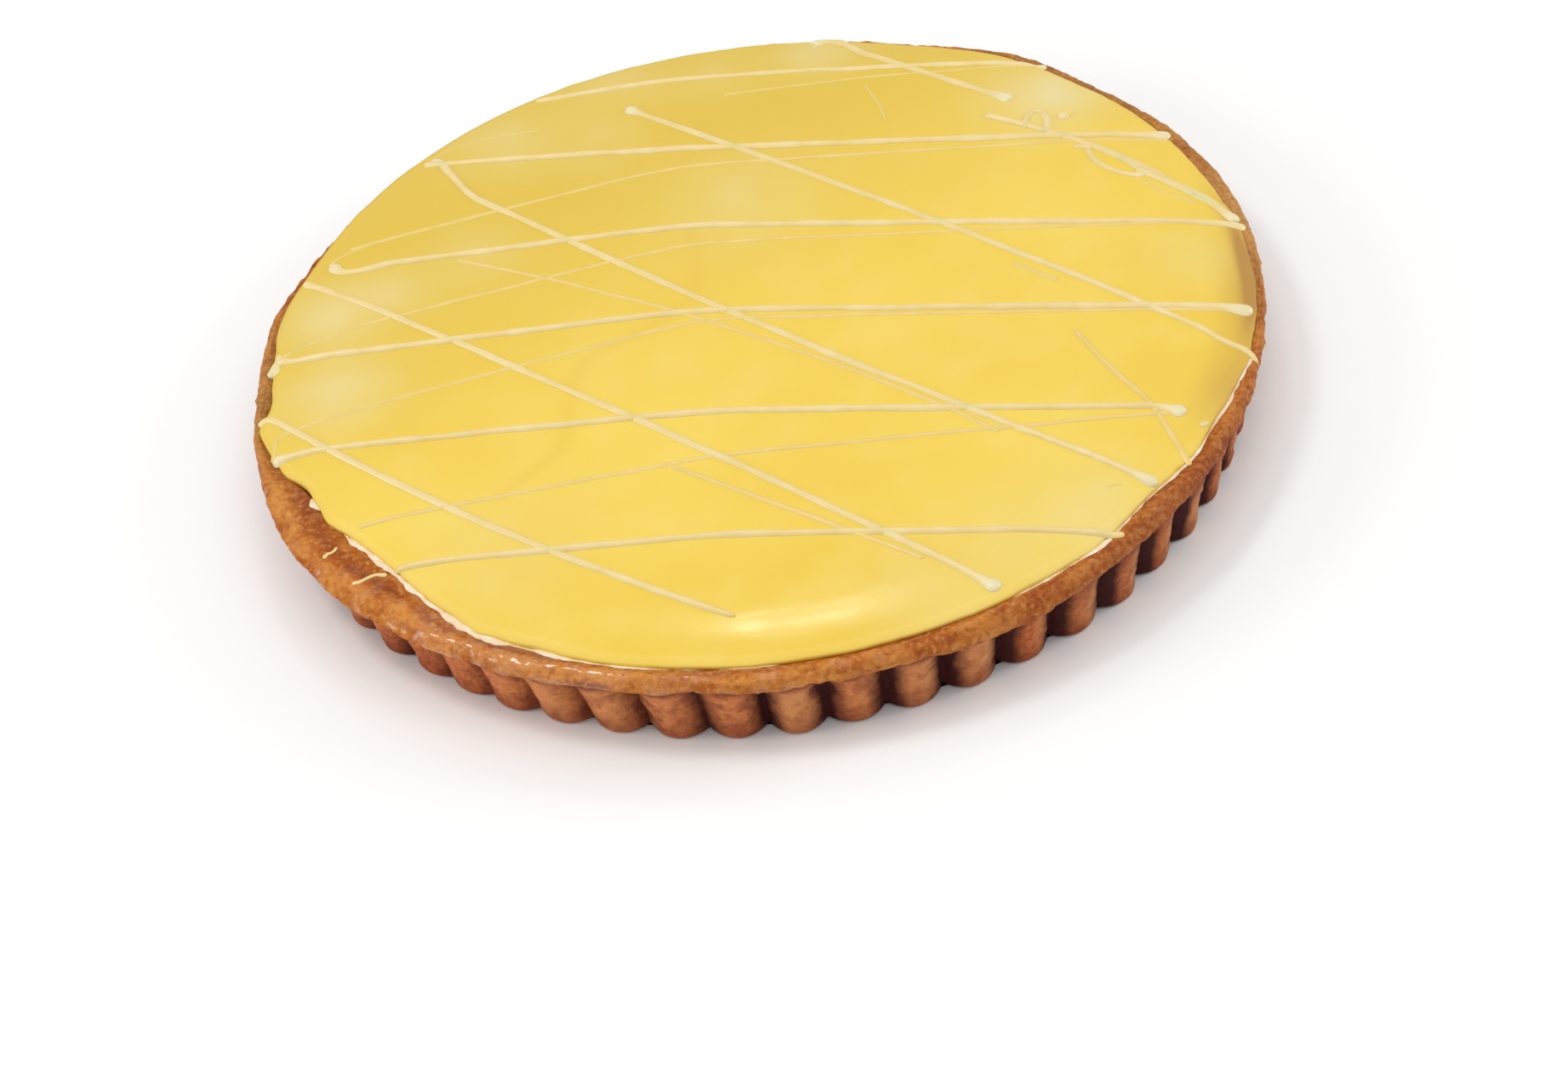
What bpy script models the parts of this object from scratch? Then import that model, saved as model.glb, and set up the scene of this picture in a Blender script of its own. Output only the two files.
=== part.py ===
"""A whole round lemon tart, modelled as the layers it is made of.

A fluted shortcrust shell holds a layer of lemon curd, a disc of sponge, more curd and a bed of cream.
A poured lemon glaze covers the cream, with icing drizzled over it in two directions.
Metres, +Z up, the origin at the centre of the underside. Angles are in degrees from +X towards +Y,
so 270 is the front. Profiles are (radius, height) pairs of the tart before its rim goes out of round.
"""

import math

import bmesh
import bpy

# The shell: a flat foot, a fluted wall that leans outwards, and a rolled lip
FLUTES = 57
STEPS_PER_FLUTE = 4
FLUTE_DEPTH = 0.0032
LIP_FLUTE_DEPTH = 0.00025
FLUTE_TOP = 0.0160
FOOT_RADIUS = 0.1324
FOOT_ROUNDING = 0.0012
WALL_RADIUS = 0.1350
WALL_LEAN = 0.0009
WALL_BOTTOM = 0.0060
WALL_TOP = 0.0115
LIP_RADIUS = 0.1375
LIP_BOTTOM = 0.0193
LIP_ROUNDING = 0.0012
LIP_HEIGHT = 0.0213
RIM_HEIGHT = 0.0245
FLOOR_THICKNESS = 0.0034
FLOOR_RADIUS = 0.1262
LEDGE_RADIUS = 0.1282
LEDGE_HEIGHT = 0.0194

# The filling: heights where its layers meet, and how far the sponge reaches
GAP = 0.0003
SPONGE_RADIUS = 0.1187
SPONGE_BOTTOM = 0.0076
SPONGE_TOP = 0.0149
CREAM_BOTTOM = 0.0197
CREAM_TOP = 0.0244
FILLING_STEPS = 76

# The top: nominal edges of glaze, cream and shell, which all wander together
GLAZE_EDGE = 0.1318
CREAM_EDGE = 0.1326
SHELL_EDGE = 0.1329
SHELL_EDGE_HEIGHT = 0.0227
GLAZE_TOP = 0.0269
TOP_STEPS = FLUTES * 2
EVEN_RADIUS = 0.1100

# Out of round: (direction, half width, how far outwards) of each swelling
EDGE_LEAN = 0.0007
EDGE_LEAN_DIRECTION = 311.0
EDGE_SWELLINGS = (
    (42.0, 39.0, 0.0054),
    (52.0, 8.0, 0.0018),
    (129.0, 54.0, 0.0060),
    (165.0, 7.0, 0.0019),
    (187.0, 7.0, 0.0040),
    (199.0, 5.0, -0.0014),
    (215.0, 13.0, -0.0056),
    (314.0, 5.0, -0.0016),
    (350.0, 18.0, 0.0036),
)
LIP_SWELLINGS = (
    (16.0, 37.0, 0.0055),
    (50.0, 7.0, 0.0040),
    (126.0, 46.0, 0.0020),
    (165.0, 6.0, 0.0018),
    (210.0, 26.0, 0.0044),
    (355.0, 19.0, -0.0021),
)
SWELLS_FROM = 0.0120
SWELLS_FULLY = 0.0197
RIM_DIPS = ((122.0, 42.0, -0.0015), (48.0, 14.0, -0.0008), (285.0, 16.0, -0.0003), (354.0, 18.0, -0.0012))
LIP_SAG = (292.0, 10.0, -0.0016)
FOOT_FOLLOWS_LIP = 0.25
FLUTE_TURN = -0.8
FLUTE_CROWDING = ((243.0, 14.0, -1.5), (317.0, 34.0, 3.1))

# The drizzle: thick strokes across the glaze, and others that run down it to the right
STROKE_RADIUS = 0.00115
STROKE_SINK = 0.00025
STROKE_STEP = 0.013
STROKE_SHORT_OF_EDGE = 0.0038
BLOB_SWELL = 1.45
BLOB_LENGTH = 0.0035
TIP_SWELL = 0.9
KNEE_X = -0.014
KNEE_ROUNDING = 0.008
# (height of the bend, slope left of it, slope right of it, left end, right end)
CROSS_STROKES = (
    (0.1225, -0.020, -0.180, -0.055, 0.095),
    (0.0850, -0.166, -0.212, -0.089, 0.126),
    (0.0470, -0.047, -0.250, -0.109, 0.139),
    (0.0073, -0.059, -0.242, -0.133, 0.133),
    (-0.0364, -0.094, -0.232, -0.134, 0.107),
    (-0.0857, -0.099, -0.215, -0.101, 0.083),
)
# (heading, distance from the middle, bow, start along the heading, end along it)
DIAGONAL_STROKES = (
    (-47.3, 0.1112, -0.0044, -0.005, 0.086),
    (-44.1, 0.1189, 0.0014, -0.068, 0.000),
    (-44.9, 0.0594, -0.0025, -0.097, 0.124),
    (-44.8, 0.0005, 0.0032, -0.115, 0.131),
    (-44.2, -0.0505, -0.0020, -0.125, 0.119),
    (-42.1, -0.0990, 0.0045, -0.093, 0.066),
)

# Colours as seen, with roughness
LAYER_LOOKS = {
    "crust": ((0.72, 0.43, 0.22), 0.55),
    "lower_curd": ((0.86, 0.60, 0.14), 0.35),
    "sponge": ((0.93, 0.75, 0.47), 0.90),
    "upper_curd": ((0.87, 0.61, 0.16), 0.35),
    "cream": ((0.98, 0.94, 0.88), 0.60),
    "glaze": ((0.98, 0.86, 0.42), 0.22),
}
SHARP_ANGLE = math.radians(40.0)
MERGE_DISTANCE = 0.00001


def ramp(value, low, high):
    """Go smoothly from 0 at low to 1 at high."""
    share = min(max((value - low) / (high - low), 0.0), 1.0)
    return share * share * (3.0 - 2.0 * share)


def mix(first, second, share):
    """Return the value that lies the given share of the way from first to second."""
    return first + (second - first) * share


def swelling(angle, direction, half_width, height):
    """Return a smooth hill over angle, full height at its direction."""
    away = (angle - direction + 180.0) % 360.0 - 180.0
    return height * math.exp(-((away / half_width) ** 2))


def edge_shift(angle):
    """How far the edge of the glaze, with all that follows it, lies outside its nominal radius."""
    lean = EDGE_LEAN * math.cos(math.radians(angle - EDGE_LEAN_DIRECTION))
    return lean + sum(swelling(angle, *hill) for hill in EDGE_SWELLINGS)


def lip_shift(angle):
    """How far the outermost line of the shell's lip lies outside its nominal radius."""
    return sum(swelling(angle, *hill) for hill in LIP_SWELLINGS)


def scallop(angle):
    """Return 0 in the groove between two flutes and 1 on the crown of a flute."""
    phase = (angle * FLUTES / 360.0) % 1.0 - 0.5
    return 1.0 - (2.0 * phase) ** 2


def shape_shell(radius, angle, height):
    """Give the turned shell its flutes, its uneven lip and its uneven crest."""
    raised = ramp(height, SWELLS_FROM, SWELLS_FULLY)
    from_ledge = min(max((radius - LEDGE_RADIUS) / (SHELL_EDGE - LEDGE_RADIUS), 0.0), 1.0)
    across = min(max((radius - SHELL_EDGE) / (LIP_RADIUS - SHELL_EDGE), 0.0), 1.0)
    on_wall = radius > 0.5 * (LEDGE_RADIUS + FOOT_RADIUS) and height < 0.5 * (LEDGE_HEIGHT + RIM_HEIGHT)
    low_shift = on_wall * FOOT_FOLLOWS_LIP * lip_shift(angle)
    high_shift = from_ledge * mix(edge_shift(angle), lip_shift(angle), across)
    shift = mix(low_shift, high_shift, raised)
    depth = on_wall * mix(FLUTE_DEPTH, LIP_FLUTE_DEPTH, ramp(height, FLUTE_TOP, LIP_BOTTOM))
    crest = ramp(height, SHELL_EDGE_HEIGHT, RIM_HEIGHT)
    dip = crest * sum(swelling(angle, *hill) for hill in RIM_DIPS)
    hang = ramp(height, FLUTE_TOP, LIP_BOTTOM) * (1.0 - ramp(height, LIP_BOTTOM, RIM_HEIGHT))
    sag = ramp(across, 0.0, 0.5) * hang * swelling(angle, *LIP_SAG)
    turn = 0.0
    if depth > LIP_FLUTE_DEPTH:
        turn = FLUTE_TURN + sum(swelling(angle, *hill) for hill in FLUTE_CROWDING)
    new_radius = radius + shift - depth * (1.0 - scallop(angle))
    return new_radius, angle + turn, height + dip + sag


def shape_top(radius, angle, height):
    """Let the outer part of the cream and glaze follow the wandering edge; what lies lower stays round."""
    outward = max(radius - EVEN_RADIUS, 0.0) / (GLAZE_EDGE - EVEN_RADIUS)
    follows = ramp(height, CREAM_BOTTOM, SHELL_EDGE_HEIGHT) * min(outward, 1.0)
    return radius + follows * edge_shift(angle), angle, height


def keep_shape(radius, angle, height):
    """Leave a turned layer round."""
    return radius, angle, height


def as_mesh_object(name, source, collection):
    """Freeze an object with its modifiers, or a curve, into a plain mesh object, and remove the source."""
    graph = bpy.context.evaluated_depsgraph_get()
    mesh = bpy.data.meshes.new_from_object(source.evaluated_get(graph))
    frozen = bpy.data.objects.new(name, mesh)
    frozen.matrix_world = source.matrix_world
    collection.objects.link(frozen)
    bpy.data.objects.remove(source, do_unlink=True)
    frozen.name = name
    mesh.name = name
    return frozen


def turned(name, profile, steps, collection, shape=keep_shape):
    """Turn a profile, listed from the top middle down its outer side, then shape each point by a rule."""
    outline = bpy.data.meshes.new(name + "_outline")
    points = [(radius, 0.0, height) for radius, height in profile]
    links = [(index, index + 1) for index in range(len(points) - 1)]
    outline.from_pydata(points, links, [])
    lathe = bpy.data.objects.new(name + "_lathe", outline)
    collection.objects.link(lathe)
    screw = lathe.modifiers.new("turn", "SCREW")
    screw.axis = "Z"
    screw.angle = math.radians(360.0)
    screw.steps = steps
    screw.render_steps = steps
    screw.use_merge_vertices = True
    screw.merge_threshold = MERGE_DISTANCE
    layer = as_mesh_object(name, lathe, collection)
    for vertex in layer.data.vertices:
        x, y, height = vertex.co
        angle = math.degrees(math.atan2(y, x)) % 360.0
        radius, angle, height = shape(math.hypot(x, y), angle, height)
        turn = math.radians(angle)
        vertex.co = (radius * math.cos(turn), radius * math.sin(turn), height)
    return layer


def make_shell(collection):
    """The shortcrust shell: flat foot, fluted wall, rolled lip, and a straight inside over a flat floor."""
    profile = (
        (0.0, FLOOR_THICKNESS),
        (FLOOR_RADIUS, FLOOR_THICKNESS),
        (LEDGE_RADIUS, LEDGE_HEIGHT),
        (SHELL_EDGE, SHELL_EDGE_HEIGHT),
        (mix(SHELL_EDGE, LIP_RADIUS, 0.42), RIM_HEIGHT),
        (mix(SHELL_EDGE, LIP_RADIUS, 0.78), mix(LIP_HEIGHT, RIM_HEIGHT, 0.75)),
        (LIP_RADIUS, LIP_HEIGHT),
        (LIP_RADIUS - LIP_ROUNDING, LIP_BOTTOM),
        (WALL_RADIUS + WALL_LEAN, mix(WALL_TOP, LIP_BOTTOM, 0.67)),
        (WALL_RADIUS, WALL_TOP),
        (WALL_RADIUS - WALL_LEAN, WALL_BOTTOM),
        (FOOT_RADIUS + FOOT_ROUNDING, FOOT_ROUNDING),
        (FOOT_RADIUS, 0.0),
        (0.0, 0.0),
    )
    return turned("crust", profile, FLUTES * STEPS_PER_FLUTE, collection, shape_shell)


def inside_of_shell(height):
    """Radius of the shell's inner wall at a height below the ledge."""
    return mix(FLOOR_RADIUS, LEDGE_RADIUS, (height - FLOOR_THICKNESS) / (LEDGE_HEIGHT - FLOOR_THICKNESS))


def make_lower_curd(collection):
    """Curd on the floor of the shell, rising round the sponge to its top."""
    bottom = FLOOR_THICKNESS + GAP
    profile = (
        (0.0, SPONGE_BOTTOM - GAP),
        (SPONGE_RADIUS + GAP, SPONGE_BOTTOM - GAP),
        (SPONGE_RADIUS + GAP, SPONGE_TOP),
        (inside_of_shell(SPONGE_TOP) - GAP, SPONGE_TOP),
        (inside_of_shell(bottom) - GAP, bottom),
        (0.0, bottom),
    )
    return turned("lower_curd", profile, FILLING_STEPS, collection)


def make_sponge(collection):
    """The disc of sponge, which stops short of the shell."""
    profile = (
        (0.0, SPONGE_TOP),
        (SPONGE_RADIUS, SPONGE_TOP),
        (SPONGE_RADIUS, SPONGE_BOTTOM),
        (0.0, SPONGE_BOTTOM),
    )
    return turned("sponge", profile, FILLING_STEPS, collection)


def make_upper_curd(collection):
    """Curd over the sponge and over the curd around it."""
    top = CREAM_BOTTOM - GAP
    bottom = SPONGE_TOP + GAP
    profile = (
        (0.0, top),
        (inside_of_shell(top) - GAP, top),
        (inside_of_shell(bottom) - GAP, bottom),
        (0.0, bottom),
    )
    return turned("upper_curd", profile, FILLING_STEPS, collection)


def cream_line():
    """The cream's upper side from the middle outwards, as (radius, height)."""
    return (
        (0.0, CREAM_TOP),
        (GLAZE_EDGE - 0.0161, CREAM_TOP - 0.0001),
        (GLAZE_EDGE - 0.0056, CREAM_TOP - 0.0003),
        (GLAZE_EDGE - 0.0007, CREAM_TOP - 0.0006),
    )


def glaze_line():
    """The glaze's upper side from the middle outwards, rounding over at its shoulder."""
    return (
        (0.0, GLAZE_TOP),
        (GLAZE_EDGE - 0.0161, GLAZE_TOP - 0.0002),
        (GLAZE_EDGE - 0.0066, GLAZE_TOP - 0.0004),
        (GLAZE_EDGE - 0.0025, GLAZE_TOP - 0.0010),
        (GLAZE_EDGE - 0.0005, GLAZE_TOP - 0.0019),
        (GLAZE_EDGE, GLAZE_TOP - 0.00255),
    )


def make_cream(collection):
    """The bed of cream, which widens over the shell's ledge and shows as a thin line round the glaze."""
    profile = cream_line() + (
        (CREAM_EDGE, SHELL_EDGE_HEIGHT + GAP),
        (LEDGE_RADIUS - GAP, CREAM_BOTTOM),
        (0.0, CREAM_BOTTOM),
    )
    return turned("cream", profile, TOP_STEPS, collection, shape_top)


def make_glaze(collection):
    """The poured glaze, a skin over the cream with a rounded shoulder."""
    underside = tuple((radius, height + GAP) for radius, height in reversed(cream_line()))
    return turned("glaze", glaze_line() + underside, TOP_STEPS, collection, shape_top)


def glaze_height(x, y):
    """Height of the glaze's upper side over a point inside its edge."""
    shift = edge_shift(math.degrees(math.atan2(y, x)) % 360.0)
    spread = shift / (GLAZE_EDGE - EVEN_RADIUS)
    radius = math.hypot(x, y)
    if radius > EVEN_RADIUS:
        radius = (radius + spread * EVEN_RADIUS) / (1.0 + spread)
    line = glaze_line()
    for inner, outer in zip(line, line[1:]):
        if radius <= outer[0]:
            return mix(inner[1], outer[1], (radius - inner[0]) / (outer[0] - inner[0]))
    return line[-1][1]


def inside_edge(x, y):
    """Whether a stroke's point is far enough inside the glaze's edge to lie on it whole."""
    angle = math.degrees(math.atan2(y, x)) % 360.0
    return math.hypot(x, y) < GLAZE_EDGE + edge_shift(angle) - STROKE_SHORT_OF_EDGE


def evenly(start, end):
    """Values from start to end, a stroke's step apart."""
    count = max(2, round(abs(end - start) / STROKE_STEP))
    return [mix(start, end, index / count) for index in range(count + 1)]


def cross_route(bend_height, left_slope, right_slope, start, end):
    """Points of a stroke piped from left to right, with one soft bend in it."""
    route = []
    for x in evenly(start, end):
        along = x - KNEE_X
        rounded = math.hypot(along, KNEE_ROUNDING)
        y = bend_height + 0.5 * (left_slope + right_slope) * along + 0.5 * (right_slope - left_slope) * rounded
        route.append((x, y))
    return route


def diagonal_route(heading, offset, bow, start, end):
    """Points of a stroke piped down to the right, slightly bowed between its ends."""
    turn = math.radians(heading)
    route = []
    for along in evenly(start, end):
        from_middle = (2.0 * along - start - end) / (end - start)
        aside = offset + bow * (from_middle ** 2 - 0.5)
        x = along * math.cos(turn) - aside * math.sin(turn)
        y = along * math.sin(turn) + aside * math.cos(turn)
        route.append((x, y))
    return route


def with_blob(route):
    """Keep the part of a route inside the edge, with a short swollen stretch at its end."""
    kept = [point for point in route if inside_edge(*point)]
    last, before = kept[-1], kept[-2]
    length = math.dist(last, before)
    neck = tuple(mix(a, b, 2.0 * BLOB_LENGTH / length) for a, b in zip(last, before))
    middle = tuple(mix(a, b, BLOB_LENGTH / length) for a, b in zip(last, before))
    return [(point, 1.0) for point in kept[:-1]] + [(neck, 1.0), (middle, BLOB_SWELL), (last, TIP_SWELL)]


def make_stroke(name, route, collection):
    """One stroke of icing, a bevelled curve lying half sunk in the glaze, as a closed mesh."""
    curve = bpy.data.curves.new(name, "CURVE")
    curve.dimensions = "3D"
    curve.bevel_depth = STROKE_RADIUS
    curve.bevel_resolution = 1
    curve.use_fill_caps = True
    points = with_blob(route)
    spline = curve.splines.new("POLY")
    spline.points.add(len(points) - 1)
    for place, ((x, y), swell) in zip(spline.points, points):
        place.co = (x, y, glaze_height(x, y) - STROKE_SINK, 1.0)
        place.radius = swell
    line = bpy.data.objects.new(name, curve)
    collection.objects.link(line)
    stroke = as_mesh_object(name, line, collection)
    shape = bmesh.new()
    shape.from_mesh(stroke.data)
    bmesh.ops.remove_doubles(shape, verts=shape.verts, dist=MERGE_DISTANCE)
    shape.to_mesh(stroke.data)
    shape.free()
    return stroke


def add_drizzle(glaze, collection):
    """Fuse every stroke to the glaze in one union."""
    strokes = bpy.data.collections.new("drizzle_strokes")
    bpy.context.scene.collection.children.link(strokes)
    for index, values in enumerate(CROSS_STROKES):
        make_stroke(f"cross_stroke_{index}", cross_route(*values), strokes)
    for index, values in enumerate(DIAGONAL_STROKES):
        make_stroke(f"diagonal_stroke_{index}", diagonal_route(*values), strokes)
    union = glaze.modifiers.new("drizzle", "BOOLEAN")
    union.operation = "UNION"
    union.operand_type = "COLLECTION"
    union.collection = strokes
    union.solver = "EXACT"
    fused = as_mesh_object("glaze", glaze, collection)
    for stroke in list(strokes.objects):
        bpy.data.objects.remove(stroke, do_unlink=True)
    bpy.data.collections.remove(strokes)
    return fused


def linear(channel):
    """Turn a colour channel as seen into a linear one."""
    return channel / 12.92 if channel <= 0.04045 else ((channel + 0.055) / 1.055) ** 2.4


def finish(layer):
    """Give a layer its material and its smooth shading."""
    colour, roughness = LAYER_LOOKS[layer.name]
    material = bpy.data.materials.new(layer.name)
    material.use_nodes = True
    shader = material.node_tree.nodes["Principled BSDF"]
    shader.inputs["Base Color"].default_value = (*[linear(channel) for channel in colour], 1.0)
    shader.inputs["Roughness"].default_value = roughness
    shader.inputs["Metallic"].default_value = 0.0
    layer.data.materials.clear()
    layer.data.materials.append(material)
    layer.data.shade_smooth()
    layer.data.set_sharp_from_angle(angle=SHARP_ANGLE)


def build():
    """Clear the scene and build the tart."""
    for thing in list(bpy.data.objects):
        bpy.data.objects.remove(thing, do_unlink=True)
    tart = bpy.data.collections.new("lemon_tart")
    bpy.context.scene.collection.children.link(tart)
    layers = [
        make_shell(tart),
        make_lower_curd(tart),
        make_sponge(tart),
        make_upper_curd(tart),
        make_cream(tart),
        add_drizzle(make_glaze(tart), tart),
    ]
    for layer in layers:
        finish(layer)


build()
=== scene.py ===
import math

import bpy
import numpy as np
from mathutils import Matrix, Vector
from mathutils.bvhtree import BVHTree


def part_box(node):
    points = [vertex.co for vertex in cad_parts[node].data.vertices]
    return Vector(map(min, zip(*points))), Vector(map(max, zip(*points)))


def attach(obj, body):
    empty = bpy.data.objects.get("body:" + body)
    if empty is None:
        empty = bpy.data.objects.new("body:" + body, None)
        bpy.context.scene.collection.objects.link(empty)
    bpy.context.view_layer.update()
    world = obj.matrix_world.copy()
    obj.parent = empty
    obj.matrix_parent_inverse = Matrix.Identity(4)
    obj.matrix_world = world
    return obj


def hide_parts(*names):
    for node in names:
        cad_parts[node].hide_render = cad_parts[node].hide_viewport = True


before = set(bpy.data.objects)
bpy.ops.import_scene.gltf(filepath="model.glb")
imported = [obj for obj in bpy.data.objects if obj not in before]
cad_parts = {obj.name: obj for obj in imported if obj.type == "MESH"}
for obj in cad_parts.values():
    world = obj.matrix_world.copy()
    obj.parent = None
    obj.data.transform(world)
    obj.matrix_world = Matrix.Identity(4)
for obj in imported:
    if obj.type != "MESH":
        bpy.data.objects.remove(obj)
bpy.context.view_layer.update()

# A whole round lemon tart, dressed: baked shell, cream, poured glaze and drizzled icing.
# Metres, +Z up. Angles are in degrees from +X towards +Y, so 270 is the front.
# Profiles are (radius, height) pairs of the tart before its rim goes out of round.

MM = 0.001

# The shell's driving dimensions
FLUTES = 57
STEPS_PER_FLUTE = 22
FLUTE_SEED = 11
FLUTE_DEPTH = 4.5 * MM
FLUTE_DEPTHS = (0.85, 1.2)
FLUTE_UNEVENNESS = 0.3 * MM
FLUTE_TOP = 16.4 * MM
FLUTE_END = 20.3 * MM
FLUTE_TURN = -0.8
CROWN_POWER = 2.2
TWIST_RADIUS = 129.5 * MM
TWIST_PIVOT = 8 * MM
WORN_INWARDS = 2.2 * MM
FLOOR_HEIGHT = 3.4 * MM
FLOOR_RADIUS = 126.2 * MM
LEDGE_RADIUS = 128.2 * MM
LEDGE_HEIGHT = 19.4 * MM
SHELL_EDGE = 131.9 * MM
SHELL_EDGE_HEIGHT = 23.6 * MM
UNDERSIDE_RADIUS = 129 * MM
FOOT_RADIUS = 132.4 * MM
WALL_RADIUS = 135 * MM
WALL_LEAN = 0.9 * MM
LIP_RADIUS = 137.5 * MM
LIP_BOTTOM = 19.9 * MM
LIP_BLEND = 0.6 * MM
RIM_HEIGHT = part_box("crust")[1].z
SWELLS_FROM = 12 * MM
SWELLS_FULLY = 19.7 * MM
FOOT_FOLLOWS_LIP = 0.25
POOLED_DIP = -0.5 * MM

# The top: nominal edges of glaze and cream, which wander together
GAP = 0.3 * MM
CREAM_BOTTOM = 19.7 * MM
CREAM_TOP = 24.4 * MM
CREAM_FLAT_RADIUS = 126.2 * MM
CREAM_EDGE_START = 129.6 * MM
CREAM_EDGE_ROWS = 9
CREAM_LINE_HEIGHT = 0.7 * MM
GLAZE_EDGE = 131.8 * MM
GLAZE_TOP = 26.9 * MM
GLAZE_FALL = 0.17 * MM
GLAZE_FLAT_RADIUS = 115
GLAZE_ROW_STEP = 2.4
GLAZE_LOWEST = 21.2 * MM
GLAZE_UNDER = ((126 * MM, 24.4 * MM), (90 * MM, 24.7 * MM), (40 * MM, 24.7 * MM))
# Outwards from the glaze's edge and up from its top, in millimetres
GLAZE_SHOULDER = (
    (-16.1, -0.2), (-11, -0.5), (-7, -0.88), (-4, -1.3),
    (-2, -1.72), (-0.8, -2.1), (-0.2, -2.45), (0, -2.8),
)
EVEN_RADIUS = 110 * MM
INNER_RADII = (40 * MM, 90 * MM)
TOP_COLUMNS = 1080

# Single hills over angle, as (direction, half width, height). Crowding is in degrees, twist in
# degrees for each metre above the pivot, dips and sag in millimetres, and the rest are shares.
FLUTE_CROWDING = ((243, 14, -1.5), (317, 34, 3.1))
FLUTE_TWIST = (248, 14, -60)
WORN_FLUTES = (230, 14, 0.55)
RIM_DIPS = ((122, 42, -1.5), (48, 14, -0.8), (285, 16, -0.3), (354, 18, -1.2))
LIP_SAG = (292, 10, -1.8)
COVERED_DIP = (130, 37, -2)
FRONT_LEFT = (224, 26, 1)
RIGHT_SIDE = (318, 30, 1)
PALE_GROOVES = (237, 21, 0.55)
# Painted light: ribs at the front are lightened where more light falls on them
LIT_FRONT_RIBS = (252, 16, 0.35)
WASH_PATCHES = (243, 24, 0.95)
WASH_STRETCH = (241, 32, 1)
# Painted shade on the side away from the light, and a painted shadow on the inner lip
SHADED_STRETCH = (320, 27, 1)
SHADED_OUTER_LIP = (314, 24, 1)
INNER_LIP_SHADOW = (199, 5, 0.8)
TAN_STRETCHES = ((178, 15, 1), (38, 22, 0.95))
PALE_STRETCH = (4, 14, 1)
# Painted shade along parts of the glaze's edge, and a painted shadow under its back edge
GLAZE_SHADED = ((350, 10, 0.55), (334, 6, 0.45))
GLAZE_SHADED_BAND = (357, 11, 1)
GLAZE_BACK_RIM_SHADOW = (125, 45, 0.5)

# Tones of the flutes: mean and spread, the most, and the one flute that is palest
RIB_TONE = (0.12, 0.2)
RIB_TONE_MOST = 0.6
PALEST_RIB_ANGLE = 319.5
PALEST_RIB_TONE = 0.9

# Layers of noise, as (amount, size of the bumps, seed). Amounts are in millimetres or shares.
LIP_WANDER = ((0.5, 9 * MM, 5), (0.4, 4 * MM, 6), (0.3, 2 * MM, 14))
LUMPS = ((0.4, 12 * MM, 1), (0.14, 5 * MM, 2))
CRUMB = ((0.24, 2.4 * MM, 3), (0.17, 1.2 * MM, 4))
STREAKS = ((0.5, 2.2 * MM, 9), (0.35, 1.1 * MM, 10))
EDGE_RUNS = ((0.22, 7 * MM, 31), (0.12, 2.6 * MM, 32))
CREAM_RAGGED = ((0.9, 5 * MM, 41), (0.6, 1.8 * MM, 42))
CREAM_LUMPS = ((0.1, 2.2 * MM, 43), (0.08, 1.1 * MM, 44))
GLAZE_WAVES = ((0.10, 42 * MM, 51), (0.05, 18 * MM, 52), (0.015, 6 * MM, 53))

# Out of round: (direction, half width, how far outwards in mm) of each swelling
EDGE_LEAN = 0.7
EDGE_LEAN_DIRECTION = 311
EDGE_SWELLINGS = (
    (42, 39, 5.4), (52, 8, 1.8), (129, 54, 6), (165, 7, 1.9),
    (187, 7, 4), (199, 5, -1.4), (215, 13, -5.6), (314, 5, -1.6),
    (350, 18, 3.6),
)
LIP_SWELLINGS = (
    (16, 37, 5.5), (50, 7, 4), (126, 46, 2), (165, 6, 1.8),
    (210, 26, 4.4), (355, 19, -2.1),
)

# Where the glaze draws back or runs out, and where the cream shows wider beyond it
GLAZE_NOTCHES = (
    (4, 5, 0.8), (24, 22, 1.4), (98, 28, 1.2), (181, 2.2, -1),
    (185, 1.5, 0.9), (194, 1.4, 0.9), (197.4, 1.3, -0.7), (204.7, 2.6, 1.3),
    (228, 1.5, -0.4), (232.3, 1.8, 1.1), (240.5, 2.6, -0.8), (304, 2, 0.4),
    (319.3, 0.8, -0.5), (323.5, 1.8, 0.4), (328.5, 2.6, -0.6), (339.3, 2.2, 0.8),
)
CREAM_SHOWS = (
    (200.4, 1.3, 2.2), (209.5, 1.6, 1.4), (214, 4, 2.3), (222.5, 4, 2),
    (229, 2.8, 2.4), (235, 3.5, 1.8), (242.5, 4.5, 1.6), (252, 6, 1),
    (266, 9, 0.6), (284, 8, 0.5), (299, 5.5, 1.3), (305.5, 4, 1.1),
    (313, 5, 1.1), (321, 5, 1), (330, 5.5, 1.1), (337, 4.5, 1.2),
)


def ramp(value, low, high):
    """Go smoothly from 0 at low to 1 at high."""
    share = np.clip((value - low) / (high - low), 0, 1)
    return share * share * (3 - 2 * share)


def mix(first, second, share):
    """Return the value that lies the given share of the way from first to second."""
    return first + (second - first) * share


def hill(value, middle, half_width):
    """A smooth hill over a value, 1 at its middle."""
    return np.exp(-(((value - middle) / half_width) ** 2))


def swelling(angle, *hills):
    """The sum of smooth hills over angle, each with a direction, a half width and a height."""
    return sum(
        height * hill((angle - direction + 180) % 360 - 180, 0, half_width)
        for direction, half_width, height in hills
    )


def swellings(angle, hills):
    """The sum of several hills over angle, turned from millimetres into metres."""
    return MM * swelling(angle, *hills)


def directions(columns):
    """Angles of evenly spaced columns."""
    return np.arange(columns)[None, :] * 360 / columns


def edge_shift(angle):
    """How far the edge of the glaze, with all that follows it, lies outside its nominal radius."""
    lean = EDGE_LEAN * MM * np.cos(np.radians(angle - EDGE_LEAN_DIRECTION))
    return lean + swellings(angle, EDGE_SWELLINGS)


def lip_shift(angle):
    """How far the outermost line of the shell's lip lies outside its nominal radius."""
    return swellings(angle, LIP_SWELLINGS)


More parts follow.
